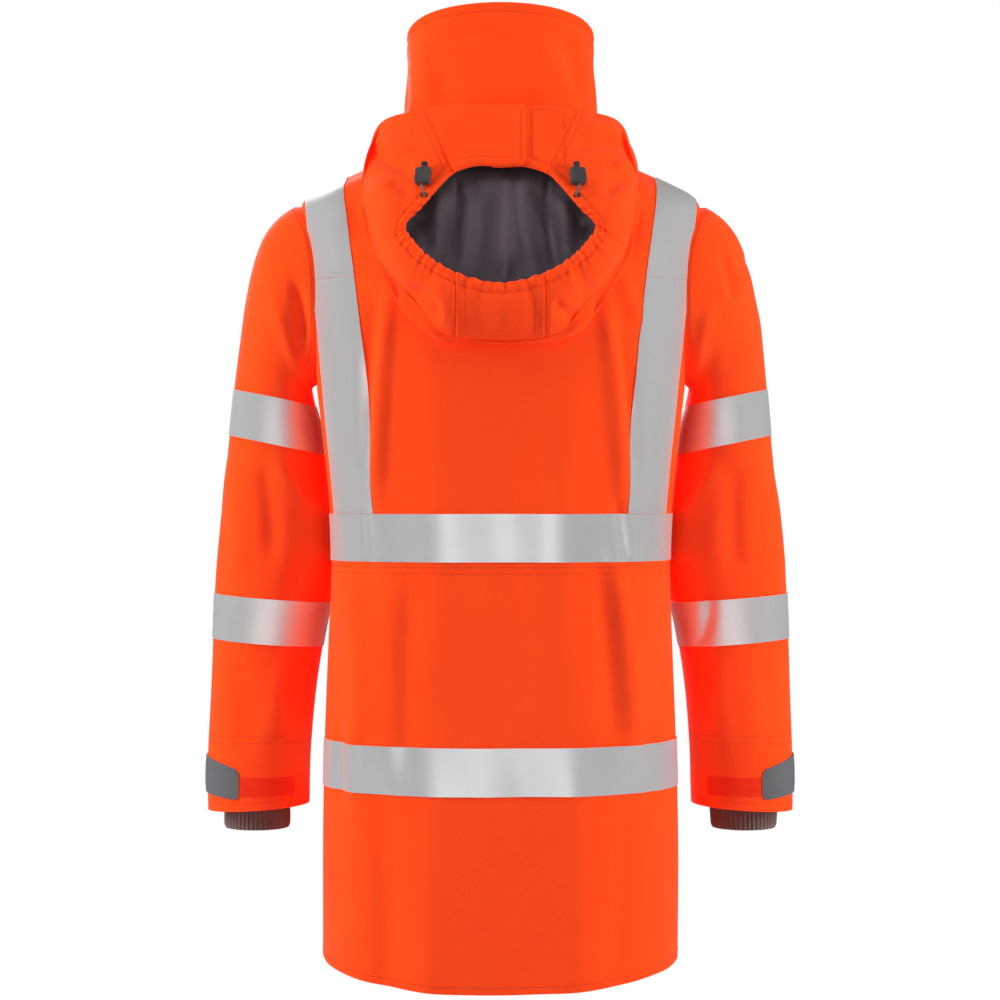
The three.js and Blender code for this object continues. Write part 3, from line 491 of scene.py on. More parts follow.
def sleeve_base(angle, n):
    """Point of a left sleeve's plain form: in each section a superellipse about its middle, from
    the inner to the outer side by the cosine and in depth by the sine, and n along the arm."""
    row = {key: read(SLEEVE, "n", key, n) for key in ("outX", "outZ", "inX", "inZ", "y", "deep")}
    reach = powered(np.cos(angle), 2 / SLEEVE_SQUARE) / 2
    x = (row["outX"] + row["inX"]) / 2 + (row["outX"] - row["inX"]) * reach
    z = (row["outZ"] + row["inZ"]) / 2 + (row["outZ"] - row["inZ"]) * reach
    y = row["y"] + row["deep"] * powered(np.sin(angle), 2 / SLEEVE_SQUARE)
    return stack(x, y, z)


def body_parts(points):
    """A point's x over the half width at its height, its y over the depth, and the squareness."""
    x, y, z = points[..., 0], points[..., 1], points[..., 2]
    depth = np.where(y >= 0, read(BODY, "z", "back", z), read(BODY, "z", "front", z))
    return x / read(BODY, "z", "half", z), y / depth, read(BODY, "z", "square", z)


def inside_body(points):
    """Below zero inside the body's plain form, above zero outside it."""
    x, y, square = body_parts(points)
    return np.abs(x) ** square + np.abs(y) ** square - 1


def armhole_stations(angles):
    """Where each line along the sleeve leaves the body: the last crossing of its surface."""
    n = np.linspace(0, 8, 1600)
    value = inside_body(sleeve_base(angles[None, :], n[:, None]))
    last = value.shape[0] - 1 - np.argmax(value[::-1] < 0, axis=0)
    return n[np.minimum(last, len(n) - 1)]


ring_angles = np.linspace(0, 2 * np.pi, 241)
armhole_n = armhole_stations(ring_angles)
armhole = sleeve_base(ring_angles, armhole_n)


def body_share(points):
    """The share of the way round of a point on the body, from its x and y."""
    x, y, square = body_parts(points)
    return np.arctan2(powered(x, square / 2), powered(y, square / 2)) / (2 * np.pi)


def within(polygon, u, v):
    """Whether points lie inside a polygon, by the count of its sides crossed by a ray."""
    inside_ = np.zeros(u.shape, dtype=bool)
    for (u0, v0), (u1, v1) in zip(polygon[:-1], polygon[1:]):
        if v0 == v1:
            continue
        cross = (v < v0) != (v < v1)
        inside_ ^= cross & (u < (u1 - u0) * (v - v0) / (v1 - v0) + u0)
    return inside_


hole_share = body_share(armhole)
hole_middle = np.array([hole_share.mean(), armhole[:, 2].mean()])
hole_outline = np.stack([hole_share, armhole[:, 2]], axis=-1)
hole_inner = hole_middle + (hole_outline - hole_middle) * 0.955


def nearest(points, targets):
    """Distance of each point to the nearest of some targets, in the points' own unit."""
    flat = points.reshape(-1, 3)
    squares = (flat ** 2).sum(1)[:, None] + (targets ** 2).sum(1)[None] - 2 * flat @ targets.T
    return np.sqrt(np.maximum(squares.min(axis=1), 0)).reshape(points.shape[:-1])


both_holes = np.concatenate([armhole, armhole * (-1, 1, 1)])
PANELS = table(
    "name from to columns wide long",
    ('back', -0.25, 0.25, 137, 0.56, 0.91), ('front_left', 0.25, 0.4995, 61, 0.29, 0.87),
    ('front_right', -0.4995, -0.25, 61, 0.29, 0.87),
)
for panel in PANELS:
    share = np.linspace(panel["to"], panel["from"], panel["columns"])[None, :]
    z = even_heights(160, HEM_Z, PANEL_TOP)[:, None]
    slope = (neck_height(share) + PANEL_TOP) / (2 * PANEL_TOP)
    z = np.where(z > -PANEL_TOP, -PANEL_TOP + (z + PANEL_TOP) * slope, z)
    share = np.broadcast_to(share, z.shape)
    points = body_surface(share, z)
    groove = 2.2 * np.exp(-((nearest(points, both_holes) / 5) ** 2))
    points = points - grid_normals(points) * groove[..., None]
    drop = within(hole_inner, np.abs(share), z)
    keep = ~(drop[:-1, :-1] & drop[1:, :-1] & drop[:-1, 1:] & drop[1:, 1:])
    thing = shell(panel["name"] + "_cloth", points, CLOTH, uv_of(points), keep)
    piece_of(thing, shell_cloth, "shell", panel["name"])


# ---------------------------------------------------------------- sleeves
# Two set-in sleeves of the same cloth, eased into the armholes and hanging slightly forward,
# with a plain turned cuff. Dragged folds start at the armhole and cross the crook of the elbow.

SLEEVE_FOLDS = {
    "left": table(
        "face x z x2 z2 wide deep bow",
        (1, 222, -88, 213, -168, 7.5, -8.8, 4), (1, 243, -104, 205, -214, 9, 4.9, -3),
        (1, 262, -282, 250, -400, 10, -4.9, 5), (1, 246, -276, 196, -346, 10, 5.1, -5),
        (1, 300, -284, 290, -430, 14, 3.5, 6), (1, 214, -380, 236, -440, 10, -3.5, 3),
        (1, 232, -494, 246, -600, 14, 3.8, -5), (1, 292, -490, 282, -610, 14, -3.2, 5),
        (-1, 218, -90, 228, -200, 10, -6.1, 5), (-1, 254, -90, 262, -220, 14, 4.1, -5),
        (-1, 206, -330, 288, -366, 11, -4.9, -6), (-1, 200, -362, 280, -412, 12, 4.6, -6),
        (-1, 240, -500, 262, -640, 16, 3.5, 5),
    ),
    "right": table(
        "face x z x2 z2 wide deep bow",
        (1, 236, -62, 250, -118, 7, -7.4, -5), (1, 266, -60, 259, -84, 9, -4.1, 1),
        (1, 226, -116, 212, -206, 9, 4.6, 4), (1, 272, -110, 262, -220, 15, 3.2, -5),
        (1, 238, -286, 206, -352, 10, 4.6, 5), (1, 258, -284, 262, -420, 12, -4.6, 6),
        (1, 296, -300, 300, -430, 15, 3.2, -5), (1, 229, -430, 216, -494, 7, -4.9, -4),
        (1, 240, -498, 250, -620, 14, 3.5, 6), (1, 290, -500, 296, -600, 15, -3.0, -4),
        (-1, 216, -84, 232, -196, 11, -5.7, 5), (-1, 258, -100, 254, -226, 13, 3.8, -5),
        (-1, 202, -322, 284, -378, 12, -5.1, -6), (-1, 202, -370, 290, -398, 11, 4.3, -4),
        (-1, 252, -504, 244, -640, 15, 3.5, -5),
    ),
}
ARM_SIDES = [("left", 1), ("right", -1)]


def sleeve_surface(word, side, angle, n, lift=0.0):
    """Point of a draped sleeve: its plain form moved along the normal by the folds of the face it
    is on, a slow ripple and a lift. side mirrors it."""
    da, dn = 0.012, 0.02
    here = sleeve_base(angle, n)
    around = sleeve_base(angle + da, n) - sleeve_base(angle - da, n)
    along = sleeve_base(angle, n + dn) - sleeve_base(angle, n - dn)
    normal = unit(np.cross(along, around))
    middle = stack((read(SLEEVE, "n", "outX", n) + read(SLEEVE, "n", "inX", n)) / 2,
                   read(SLEEVE, "n", "y", n), here[..., 2])
    facing = np.sum(normal * (here - middle), axis=-1, keepdims=True)
    normal = normal * np.where(facing < 0, -1, 1)
    x, z = here[..., 0], here[..., 2]
    height = 0.6 * np.sin(2 * angle + z / 37) + 0.5 * np.sin(3 * angle - z / 53 + side)
    height = height + folds_of_faces(SLEEVE_FOLDS[word], x, z, np.sin(angle), -0.1, 0.3)
    cuff = 1 - smooth(-640, -668, z) * 0.75
    point = here + normal * (height * cuff + lift)[..., None]
    return point * (side, 1, 1)


def sleeve_groove(points, side):
    """Depth of the groove beside the armhole seam."""
    away = nearest(points, armhole * (side, 1, 1))
    return 2.0 * np.exp(-((away / 4.5) ** 2))


for word, side in ARM_SIDES:
    angles = np.linspace(0, 2 * np.pi, 121)
    start = armhole_stations(angles)
    steps = np.linspace(0, 1, 131)[:, None] ** 1.06
    n = CUFF_END + (start - CUFF_END) * (1 - steps)
    n = np.flip(n, axis=0)
    points = sleeve_surface(word, side, angles[None, :] * side, n)
    points = points - grid_normals(points, ring=True) * sleeve_groove(points, side)[..., None]
    points[:, -1] = points[:, 0]
    thing = shell(f"sleeve_{word}_cloth", points, CLOTH, uv_of(points), ring=True)
    piece_of(thing, shell_cloth, "shell", f"sleeve_{word}")

# ---------------------------------------------------------------- reflective tape
# Silver tape 50 mm wide, woven with glass beads bonded to its face, sewn on along both edges: two
# belts, a pair of braces from the upper belt over the shoulders, and two bands round each arm.

TAPE_WALL = 0.8
TAPE_WIDTH = 50
GAP = 0.3
BELTS = [{"name": "waist_band", "z": -368}, {"name": "lower_band", "z": -610}]
BRACE = table(
    "z inner outer",
    (-342, 132, 176), (-181, 143, 191), (-94, 153, 200), (0, 166, 211), (40, 166, 211),
)
BRACE_JOIN = -94
ARM_BANDS = [
    {"name": "upper_arm_band", "outX": 296, "outZ": -232, "inX": 201, "inZ": -252},
    {"name": "forearm_band", "outX": 321, "outZ": -457, "inX": 194, "inZ": -467},
]
FLAP = {"left": 34, "right": -30, "lift": 2.5}
BEAD_SIDES = 6

tape_cloth = cloth_material(
    "reflective_silver", (0.7, 0.7, 0.71), (0.76, 0.76, 0.765), 0.5, 0.0016, 26, 0.00004,
    Metallic=0.6, Specular_IOR_Level=0.4,
)


def plain_material(name, color, roughness, **sockets):
    """Material of one colour, with plain values on the shader's own sockets."""
    material = bpy.data.materials.new(name)
    material.use_nodes = True
    shader = material.node_tree.nodes["Principled BSDF"]
    shader.inputs["Base Color"].default_value = (*color, 1)
    shader.inputs["Roughness"].default_value = roughness
    for socket, value in sockets.items():
        shader.inputs[socket.replace("_", " ")].default_value = value
    return material


thread = plain_material("sewing_thread", (0.5, 0.02, 0.003), 0.7)
silver_thread = plain_material("silver_thread", (0.62, 0.56, 0.54), 0.7)


def ring_quads(ids):
    """Quads between rows of point numbers, each row a closed ring."""
    after = np.roll(ids, -1, axis=-1)
    low, high = slice(None, -1), slice(1, None)
    corners = [ids[..., low, :], after[..., low, :], after[..., high, :], ids[..., high, :]]
    return np.stack(corners, axis=-1).reshape(-1, 4)


def stitches(name, path, up, owner, material, pitch, length=2.3, wide=0.5, rise=0.28):
    """A row of stitches along a path of points: each a low bead, pitch apart. The beads are one
    mesh: six-sided spindles along the path, raised along the up vectors."""
    length_along = run_of(path, 0)
    count = max(int(length_along[-1] / pitch), 1)
    middle = (np.arange(count) + 0.5) * pitch
    where = middle[:, None] + np.array([-0.5, -0.3, 0.3, 0.5])[None] * length
    at, lift = (np.stack([np.interp(where, length_along, values[:, k]) for k in range(3)], axis=-1)
                for values in (path, up))
    lift = unit(lift)
    run = unit(at[:, -1:] - at[:, :1])
    aside = unit(np.cross(run, lift))
    turn = np.linspace(0, 2 * np.pi, BEAD_SIDES, endpoint=False)
    size = np.array([0.25, 1, 1, 0.25])[None, :, None, None]
    ring = aside[:, :, None] * np.cos(turn)[:, None] * wide / 2
    ring = ring + lift[:, :, None] * np.sin(turn)[:, None] * rise
    points = at[:, :, None] + ring * size
    ids = np.arange(count * 4 * BEAD_SIDES).reshape(count, 4, BEAD_SIDES)
    faces = ring_quads(ids).tolist() + ids[:, 0, ::-1].tolist() + ids[:, -1].tolist()
    return piece_of(new_object(name, points, faces), material, owner)


def tape_piece(name, points, ring=False):
    """A length of tape from its grid. It also works out the tape's width, the shorter mean run over
    the grid, the sum of the steps between points, which nothing uses."""
    thing = shell(name + "_tape", points, TAPE_WALL - 0.1, uv_of(points), ring=ring)
    piece_of(thing, tape_cloth, "tape", name)
    width = min(run_of(points, 0)[-1].mean(), run_of(points, 1)[:, -1].mean()) * 0.001


def belt_grid(z, share, lift):
    """Grid of a belt at a height: rows across the tape, columns round the body."""
    rows = z + np.linspace(-TAPE_WIDTH / 2, TAPE_WIDTH / 2, 13)[:, None]
    return body_surface(np.broadcast_to(share, (13, share.shape[1])), rows, lift)


def share_at(x, z, behind=True):
    """The share of the way round at which the body has this x at this height: the arc sine of x
    over the half width, raised to half the squareness, behind or in front."""
    sine = np.clip(np.abs(x) / read(BODY, "z", "half", z), 0, 1) ** (read(BODY, "z", "square", z) / 2)
    turn = np.arcsin(sine) / (2 * np.pi)
    return np.sign(x + 1e-9) * np.where(behind, turn, 0.5 - turn)


def brace_x(z, across):
    """A brace's x at a height, from its inner edge (0) to its outer edge (1)."""
    return read(BRACE, "z", "inner", z) * (1 - across) + read(BRACE, "z", "outer", z) * across


TAPE_LIFT = GAP + TAPE_WALL
flap_left = share_at(np.array(FLAP["left"] + GAP), np.array(-400.0), behind=False)
flap_right = 1 + share_at(np.array(FLAP["right"] - GAP), np.array(-400.0), behind=False)
for belt in BELTS:
    share = np.linspace(flap_left, flap_right - 1, 261)[None, :]
    tape_piece(belt["name"], belt_grid(belt["z"], share, TAPE_LIFT))
    over = np.linspace(flap_right, flap_left, 21)[None, :]
    tape_piece(belt["name"] + "_flap", belt_grid(belt["z"], over, FLAP["lift"] + TAPE_LIFT))

for word, side in ARM_SIDES:
    # over the shoulder: across from inner to outer edge, t from behind, over the top, to the front
    t = np.linspace(-1, 1, 81)[:, None]
    c = np.linspace(0, 1, 13)[None, :]
    z = BRACE_JOIN * t ** 2 + 10 * (1 - t ** 2)
    tops = np.linspace(-12, 60, 400)
    for _ in range(5):
        x = brace_x(z, c)
        highest = np.interp(-x, -read(BODY, "z", "half", tops), tops)
        z = highest - (highest - BRACE_JOIN) * t ** 2
    points = body_surface(share_at(side * x, z, t < 0), z, TAPE_LIFT)
    points = points if side < 0 else points[:, ::-1]
    tape_piece("brace_shoulder_" + word, points)
    for face, behind in (("back", True), ("front", False)):
        z = np.linspace(BELTS[0]["z"] + TAPE_WIDTH / 2 + GAP, BRACE_JOIN - GAP, 91)[:, None]
        x = brace_x(z, c)
        points = body_surface(share_at(side * x, z, behind), z + 0 * x, TAPE_LIFT)
        points = points if (side < 0) == behind else points[:, ::-1]
        tape_piece(f"brace_{face}_{word}", points)
    for band in ARM_BANDS:
        angles = np.linspace(0, 2 * np.pi, 97)
        steps = np.linspace(0, CUFF_END, 801)
        form = sleeve_base(angles[None, :], steps[:, None])
        lean = np.array([band["outX"] - band["inX"], band["outZ"] - band["inZ"]], float)
        lean /= np.linalg.norm(lean)
        middle = np.array([band["outX"] + band["inX"], band["outZ"] + band["inZ"]]) / 2
        away = (form[..., 0] - middle[0]) * lean[1] - (form[..., 2] - middle[1]) * lean[0]
        offsets = np.linspace(-TAPE_WIDTH / 2, TAPE_WIDTH / 2, 13)
        n = np.stack([np.interp(offsets, away[:, k], steps) for k in range(len(angles))], axis=1)
        points = sleeve_surface(word, side, angles[None, :] * side + 0 * n, n, TAPE_LIFT)[::-1]
        points[:, -1] = points[:, 0]
        tape_piece(f"{band['name']}_{word}", points, ring=True)

# ---------------------------------------------------------------- storm flap
# A double strip of the shell cloth down the middle of the front, over the closing edges of the
# two fronts. It is sewn along the wearer's left and held along its free edge by hidden fasteners.

FLAP_WALL = 2.0
columns = np.linspace(0, 1, 21)[None, :]
rows = np.linspace(HEM_Z, 192, 131)[:, None]
left_edge = share_at(FLAP["left"] + 0 * rows, rows, behind=False)
right_edge = 1 + share_at(FLAP["right"] + 0 * rows, rows, behind=False)
share = right_edge + (left_edge - right_edge) * columns
soft = 0.5 * np.sin(rows / 61) + 0.3 * np.sin(rows / 23 + 1)
free = 1 - smooth(0, 0.3, columns)
rounding = -1.2 * (1 - np.minimum(1, np.minimum(columns, 1 - columns) / 0.03)) ** 2
points = body_surface(share + 0 * rows, rows + 0 * columns, FLAP["lift"] + free * soft + rounding)
flap = shell("storm_flap_cloth", points, FLAP_WALL, uv_of(points))
piece_of(flap, shell_cloth, "shell", "storm_flap")

# ---------------------------------------------------------------- collar
# A tall stand collar of two layers of the shell cloth with a stiffener between, sewn to the neck
# seam and standing up all round, higher behind. Its edge is topstitched and it bends softly.

COLLAR_WALL = 3.0
COLLAR_FOLDS = table(
    "x z x2 z2 wide deep bow",
    (60, 188, -20, 128, 17, -4.8, 5), (34, 160, -52, 96, 12, 2.9, 4),
    (-28, 176, -78, 112, 15, 3.1, -4), (-62, 182, -88, 104, 14, -4.1, 5),
    (66, 134, 40, 74, 13, -3.7, -4), (92, 182, 84, 90, 14, 3.2, 4),
    (150, 176, 128, 84, 16, -3.7, 6), (-150, 178, -124, 90, 15, -4.1, -6),
    (206, 168, 224, 88, 16, 3.1, 5), (-206, 170, -220, 84, 17, 3.1, -5),
)
NECK_GIRTH = 600


def neck_top(share):
    """Height of the collar's foot, just above the neck seam."""
    return neck_height(share) + 0.6


def collar_lift(share, z):
    """Height of the collar's folds, with the swell just under its turned edge and a shallow
    groove along the stitching."""
    s = (share * NECK_GIRTH + NECK_GIRTH / 2) % NECK_GIRTH - NECK_GIRTH / 2
    folds = folds_at(COLLAR_FOLDS, s, z) + 0.5 * np.sin(s / 23 + z / 41)
    calm = smooth(28, 90, z) * (1 - 0.5 * smooth(180, 200, z))
    edge = -0.9 * np.exp(-(((z - 191) / 2.2) ** 2)) + 0.5 * np.exp(-(((z - 196.5) / 3) ** 2))
    turned = -1.3 * smooth(198.5, 201, z) ** 2
    foot = 0.9 * np.exp(-(((z - neck_top(share) - 4) / 3) ** 2))
    return folds * calm + edge + turned + foot


share = np.linspace(0.5, -0.5, 201)[None, :]
foot_z = neck_top(share)
part = np.linspace(0, 1, 81)[:, None]
z = foot_z + (RIM_BACK - foot_z) * part
points = body_surface(share + 0 * z, z)
points = points + grid_normals(points, ring=True) * collar_lift(share + 0 * z, z)[..., None]
points[:, -1] = points[:, 0]
collar = shell("collar_cloth", points, COLLAR_WALL, uv_of(points), ring=True)
piece_of(collar, shell_cloth, "shell", "collar")

# ---------------------------------------------------------------- cuffs
# Inside each sleeve's end is a ribbed knitted wristlet. On the back of the cuff lies a strip of
# hook-and-loop tape, and a moulded grey tab, sewn at the sleeve's seam, closes over it.

INNER_CUFF = {"x": 273, "half": 37, "y": -66, "deep": 36, "top": -640, "foot": -695}
CUFF_TAB = {"fromX": 287, "topOut": -612, "topIn": -626, "footOut": -654, "footIn": -659}
CUFF_STRIP = {"wall": 1.1, "fromX": 229, "toX": 286.2, "top": -634, "foot": -654}
SLEEVE_INNER_X = 213.0
knit = cloth_material(
    "ribbed_knit", (0.15, 0.1, 0.092), (0.19, 0.13, 0.12), 0.95, 0.0009, 60, 0.0002,
    Sheen_Weight=0.25, Sheen_Roughness=0.6, Specular_IOR_Level=0.2,
)
moulded = cloth_material(
    "moulded_grey", (0.125, 0.125, 0.135), (0.15, 0.15, 0.16), 0.6, 0.0008, 70, 0.00008,
    Specular_IOR_Level=0.35,
)
# The orange loop tape has a faint red emission as well: a painted glow that keeps its shaded parts red.
loop_tape_painted_glow = cloth_material(
    "loop_tape_painted_glow", (0.84, 0.026, 0.006), (1.0, 0.046, 0.012), 1.0, 0.0007, 220, 0.0006,
    Sheen_Weight=0.04, Sheen_Roughness=0.7, Specular_IOR_Level=0.1,
    Emission_Color=(1.0, 0.012, 0.0, 1), Emission_Strength=0.15,
)


def sleeve_at(x, z, face):
    """Angle and station of the sleeve's plain form at a given x and height on its back or front:
    halving the span of stations until the height is met."""
    low, high = np.full(np.broadcast(x, z).shape, 6.0), np.full(np.broadcast(x, z).shape, 16.0)
    for _ in range(26):
        n = (low + high) / 2
        out_x, in_x = read(SLEEVE, "n", "outX", n), read(SLEEVE, "n", "inX", n)
        out_z, in_z = read(SLEEVE, "n", "outZ", n), read(SLEEVE, "n", "inZ", n)
        across = np.clip((x - (out_x + in_x) / 2) / ((out_x - in_x) / 2), -1, 1)
        above = (out_z + in_z) / 2 + (out_z - in_z) / 2 * across > z
        low, high = np.where(above, n, low), np.where(above, high, n)
    angle = np.arccos(powered(across, SLEEVE_SQUARE / 2))
    return face * angle, n


for word, side in ARM_SIDES:
    turn = np.linspace(0, 2 * np.pi, 323)[None, :]
    rows = np.linspace(INNER_CUFF["foot"], INNER_CUFF["top"], 17)[:, None]
    ribs = 0.9 * np.cos(turn * 46) * (1 - 0.7 * smooth(-690, -694.5, rows))
    slack = 1.2 * np.sin(2 * turn + rows / 19 + side) * smooth(-694, -670, rows)
    lip = -1.0 * smooth(-691, -695, rows) ** 2
    radius = ribs + slack + lip - 0.9
    x = side * (INNER_CUFF["x"] + (INNER_CUFF["half"] + radius) * np.cos(turn))
    y = INNER_CUFF["y"] + (INNER_CUFF["deep"] + radius) * np.sin(turn)
    points = stack(x, y, rows + 0 * turn)
    points = points if side > 0 else points[:, ::-1]
    points[:, -1] = points[:, 0]
    cuff = shell(f"inner_cuff_{word}_knit", points, 1.6, uv_of(points), ring=True, smooth_angle=80)
    piece_of(cuff, knit, "cuff_knit", f"inner_cuff_{word}")

    # hook-and-loop strip, with a small dark gap round it
    across = np.linspace(CUFF_STRIP["fromX"], CUFF_STRIP["toX"], 61)[None, :]
    rows = np.linspace(CUFF_STRIP["foot"], CUFF_STRIP["top"], 21)[:, None]
    angle, n = sleeve_at(across + 0 * rows, rows + 0 * across, 1)
    rough = 0.12 * np.sin(across * 3.1 + rows) * np.sin(rows * 3.7)
    points = sleeve_surface(word, side, angle, n, GAP + CUFF_STRIP["wall"] + rough)
    points = points if side < 0 else points[:, ::-1]
    strip = shell(f"cuff_strip_{word}_tape", points, 1.0, uv_of(points))
    piece_of(strip, loop_tape_painted_glow, "cuff_loop", f"cuff_strip_{word}")

    # tab: from behind round the outer edge to the front, with rounded corners at both ends
    share = np.linspace(-1, 1, 65)[None, :]
    height = np.linspace(0, 1, 21)[:, None]
    corner = np.abs(2 * height - 1) ** 6
    ends = CUFF_TAB["fromX"] + 5 * corner
    out_x = read(SLEEVE, "n", "outX", np.array(15.6))
    half, middle = (out_x - SLEEVE_INNER_X) / 2, (out_x + SLEEVE_INNER_X) / 2
    widest = np.arccos(powered((ends - middle) / half, SLEEVE_SQUARE / 2))
    angle = -share * widest
    reach = powered(np.cos(angle), 2 / SLEEVE_SQUARE)
    x = middle + half * reach
    part = np.clip((x - CUFF_TAB["fromX"]) / (out_x - CUFF_TAB["fromX"]), 0, 1)
    top = CUFF_TAB["topIn"] + (CUFF_TAB["topOut"] - CUFF_TAB["topIn"]) * part
    foot = CUFF_TAB["footIn"] + (CUFF_TAB["footOut"] - CUFF_TAB["footIn"]) * part
    z = foot + (top - foot) * height
    form_n = np.linspace(12, 16, 400)
    outer_n, inner_n = (np.interp(-z, -read(SLEEVE, "n", key, form_n), form_n) for key in ("outZ", "inZ"))
    n = outer_n * (1 + reach) / 2 + inner_n * (1 - (1 + reach) / 2)
    crown = 1 - np.maximum(np.abs(2 * height - 1), np.abs(share)) ** 8
    ridge = 0.5 * np.exp(-(((np.abs(2 * height - 1) - 0.72) / 0.1) ** 2))
    lift = GAP + 1.2 + 0.8 * crown - ridge * 0.6
    points = sleeve_surface(word, side, angle, n, lift)
    points = points if side < 0 else points[:, ::-1]
    tab = shell(f"cuff_tab_{word}_moulded", points, 1.2, uv_of(points))
    piece_of(tab, moulded, "cuff_tab", f"cuff_tab_{word}")

# ---------------------------------------------------------------- hood
# A roomy hood of the shell cloth, sewn to the neck seam and thrown back so that its opening faces
# up and back. Two side panels, a brim in three panels with double-stitched seams, a chin flap
# that closes over the right side, and the crown, a bag that lies on the back.

HOOD_LAST = 10
LAST = 2 * HOOD_LAST
CHIN_SEAM = 2
SIDE_SEAM = 6
BRIM_SEAM_X = 46
CHIN_EDGE_X = -25.7
CHIN_UNDER_X = 8
HOOD_MIDDLE = (0, -42)
HOOD = table(
    "n openX openZ openY foldX foldZ foldY swell",
    (0, 0, 18, 126, 0, 88, 91, 2), (1, 25, 18.5, 127, 40, 88.5, 89, 2),
    (2, 48, 11, 132, 80, 86, 79, 5), (3, 58, 2, 137, 126, 78, 53, 12),
    (4, 68, -10, 143, 141, 46, 52, 16), (5, 82, -28, 152, 145, 0, 93, 16),
    (6, 97.4, -46, 160, 131, -68, 126, 15), (7, 89, -62, 168, 113, -95, 143, 15),
    (8, 72, -80, 178, 86, -126, 158, 14), (9, 42, -98, 186, 58, -158, 165, 12),
    (10, 0, -107.5, 189, 0, -165, 167, 10),
)
CROWN = table(
    "n x z y",
    (0, 0, 49, 95), (1, 38, 48, 92), (2, 72, 42, 85), (3, 104, 34, 74), (4, 132, 18, 70),
    (5, 146, -6, 90), (6, 135, -70, 118), (7, 120, -100, 134), (8, 99, -135, 145),
    (9, 64, -162, 157), (10, 0, -168, 160),
)
HOOD_FOLDS = table(
    "x z x2 z2 wide deep bow",
    (138, 44, 88, 14, 7, -6.3, -3), (134, 60, 90, 34, 8, 4.8, -3), (132, 10, 104, -34, 13, 3.1, 4),
    (118, 0, 92, -18, 8, -3.1, 2), (-70, 38, -134, 52, 7.5, -6.4, 3),
    (-84, 60, -128, 70, 9, 3.6, 2), (-136, 34, -118, 18, 8, 4.8, 1),
    (-138, 14, -108, -14, 8, -5.6, -4), (-126, -20, -98, -42, 10, 3.6, 3),
    (108, -62, 84, -112, 10, 3.1, -4), (98, -112, 60, -146, 6, -6.2, 6),
    (62, -92, 60, -150, 9, 2.8, 3), (24, -112, 18, -165, 12, -2.5, -3),
    (-6, -112, -2, -165, 11, 2.2, 2), (-30, -110, -34, -164, 9, -2.4, 3),
    (-54, -128, -84, -140, 6, -5.9, -4), (-112, -66, -88, -118, 11, 3.4, 5),
    (-78, -84, -92, -120, 8, -3.1, -2), (66, 30, 50, 80, 10, 2.1, 2),
    (-56, 26, -62, 82, 10, -2.0, 3),
)


def mirrored(rows, signed):
    """A table of the left side carried round to the right and a little past both ends: the rows
    run back after the last, with the signed columns negative."""
    carried = []
    for n in range(-3, LAST + 4):
        place = n % LAST
        row = dict(rows[min(place, LAST - place)], n=n)
        side = -1 if place > HOOD_LAST else 1
        row.update({key: side * row[key] for key in signed})
        carried.append(row)
    return carried


HOOD_ROUND = mirrored(HOOD, ("openX", "foldX"))
CROWN_ROUND = mirrored(CROWN, ("x",))


def hood_rows(station):
    """The table's columns at stations that run from the chin down the left side to the middle
    of the brim and up the right side to the chin again."""
    keys = ("openX", "openY", "openZ", "foldX", "foldY", "foldZ", "swell")
    return {key: read(HOOD_ROUND, "n", key, station) for key in keys}


def hood_base(station, out):
    """Point of the hood's plain outer side: straight from the opening's edge to the fold, bowed
    out by four times out times one less out times the swell."""
    row = hood_rows(station)
    start = stack(*(row["open" + axis] for axis in "XYZ"))
    away = stack(*(row["fold" + axis] for axis in "XYZ")) - start
    bow = (4 * out * (1 - out) * row["swell"])[..., None]
    point = start + away * out[..., None]
    away = unit(away)
    lean = away[..., 1:2]
    rise = bow * (0.5 + 0.5 * np.sqrt(1 - lean ** 2))
    return point + rise * (0, 1, 0) + away * (1, 0, 1) * bow * -lean * 0.6


def edge_to_fold(station):
    """Distance from the opening's edge straight to the fold."""
    row = hood_rows(station)
    return np.sqrt((row["foldX"] - row["openX"]) ** 2 + (row["foldY"] - row["openY"]) ** 2
                   + (row["foldZ"] - row["openZ"]) ** 2)


def hood_point(station, out, lift=0.0):
    """Point of the draped hood: folds, the drawcord's tunnel along the opening with its row of
    stitching, and gathers that fade away from the opening."""
    station, out = np.broadcast_arrays(station, out)
    here = hood_base(station, out)
    step = hood_base(station + 0.06, out) - hood_base(station - 0.06, out)
    away = hood_base(station, out + 0.02) - hood_base(station, out - 0.02)
    normal = unit(np.cross(away, step))
    normal = normal * np.where(normal[..., 1:2] < 0, -1, 1)
    d = out * edge_to_fold(station)
    folds = folds_at(HOOD_FOLDS, here[..., 0], here[..., 2])
    low = smooth(3.4, 5.5, station) * (1 - smooth(14.5, 16.6, station))
    puckers = np.sin(station * 21 + 1.4 * np.sin(station * 3.1)) * np.exp(-d / 9) * 1.5 * low
    puckers += np.sin(station * 13.3 + 2) * np.exp(-d / 16) * 0.8 * low
    tunnel = 1.3 * np.exp(-(((d - 5) / 4.5) ** 2)) - 0.9 * np.exp(-(((d - 11) / 1.6) ** 2))
    edge = -1.6 * (1 - smooth(0, 2.2, d))
    height = folds * smooth(0, 12, d) * (1 - 0.6 * smooth(0.9, 1, out)) + puckers + tunnel + edge
    return here + normal * (height + lift)[..., None]


def seam_station(x, out, start, end):
    """Station where the hood's plain outer side is at this x, for each out."""
    tries = np.linspace(start, end, 300)
    found = []
    for share in out:
        xs = hood_base(tries, np.full_like(tries, share))[:, 0]
        found.append(np.interp(-x, -xs, tries))
    return np.array(found)


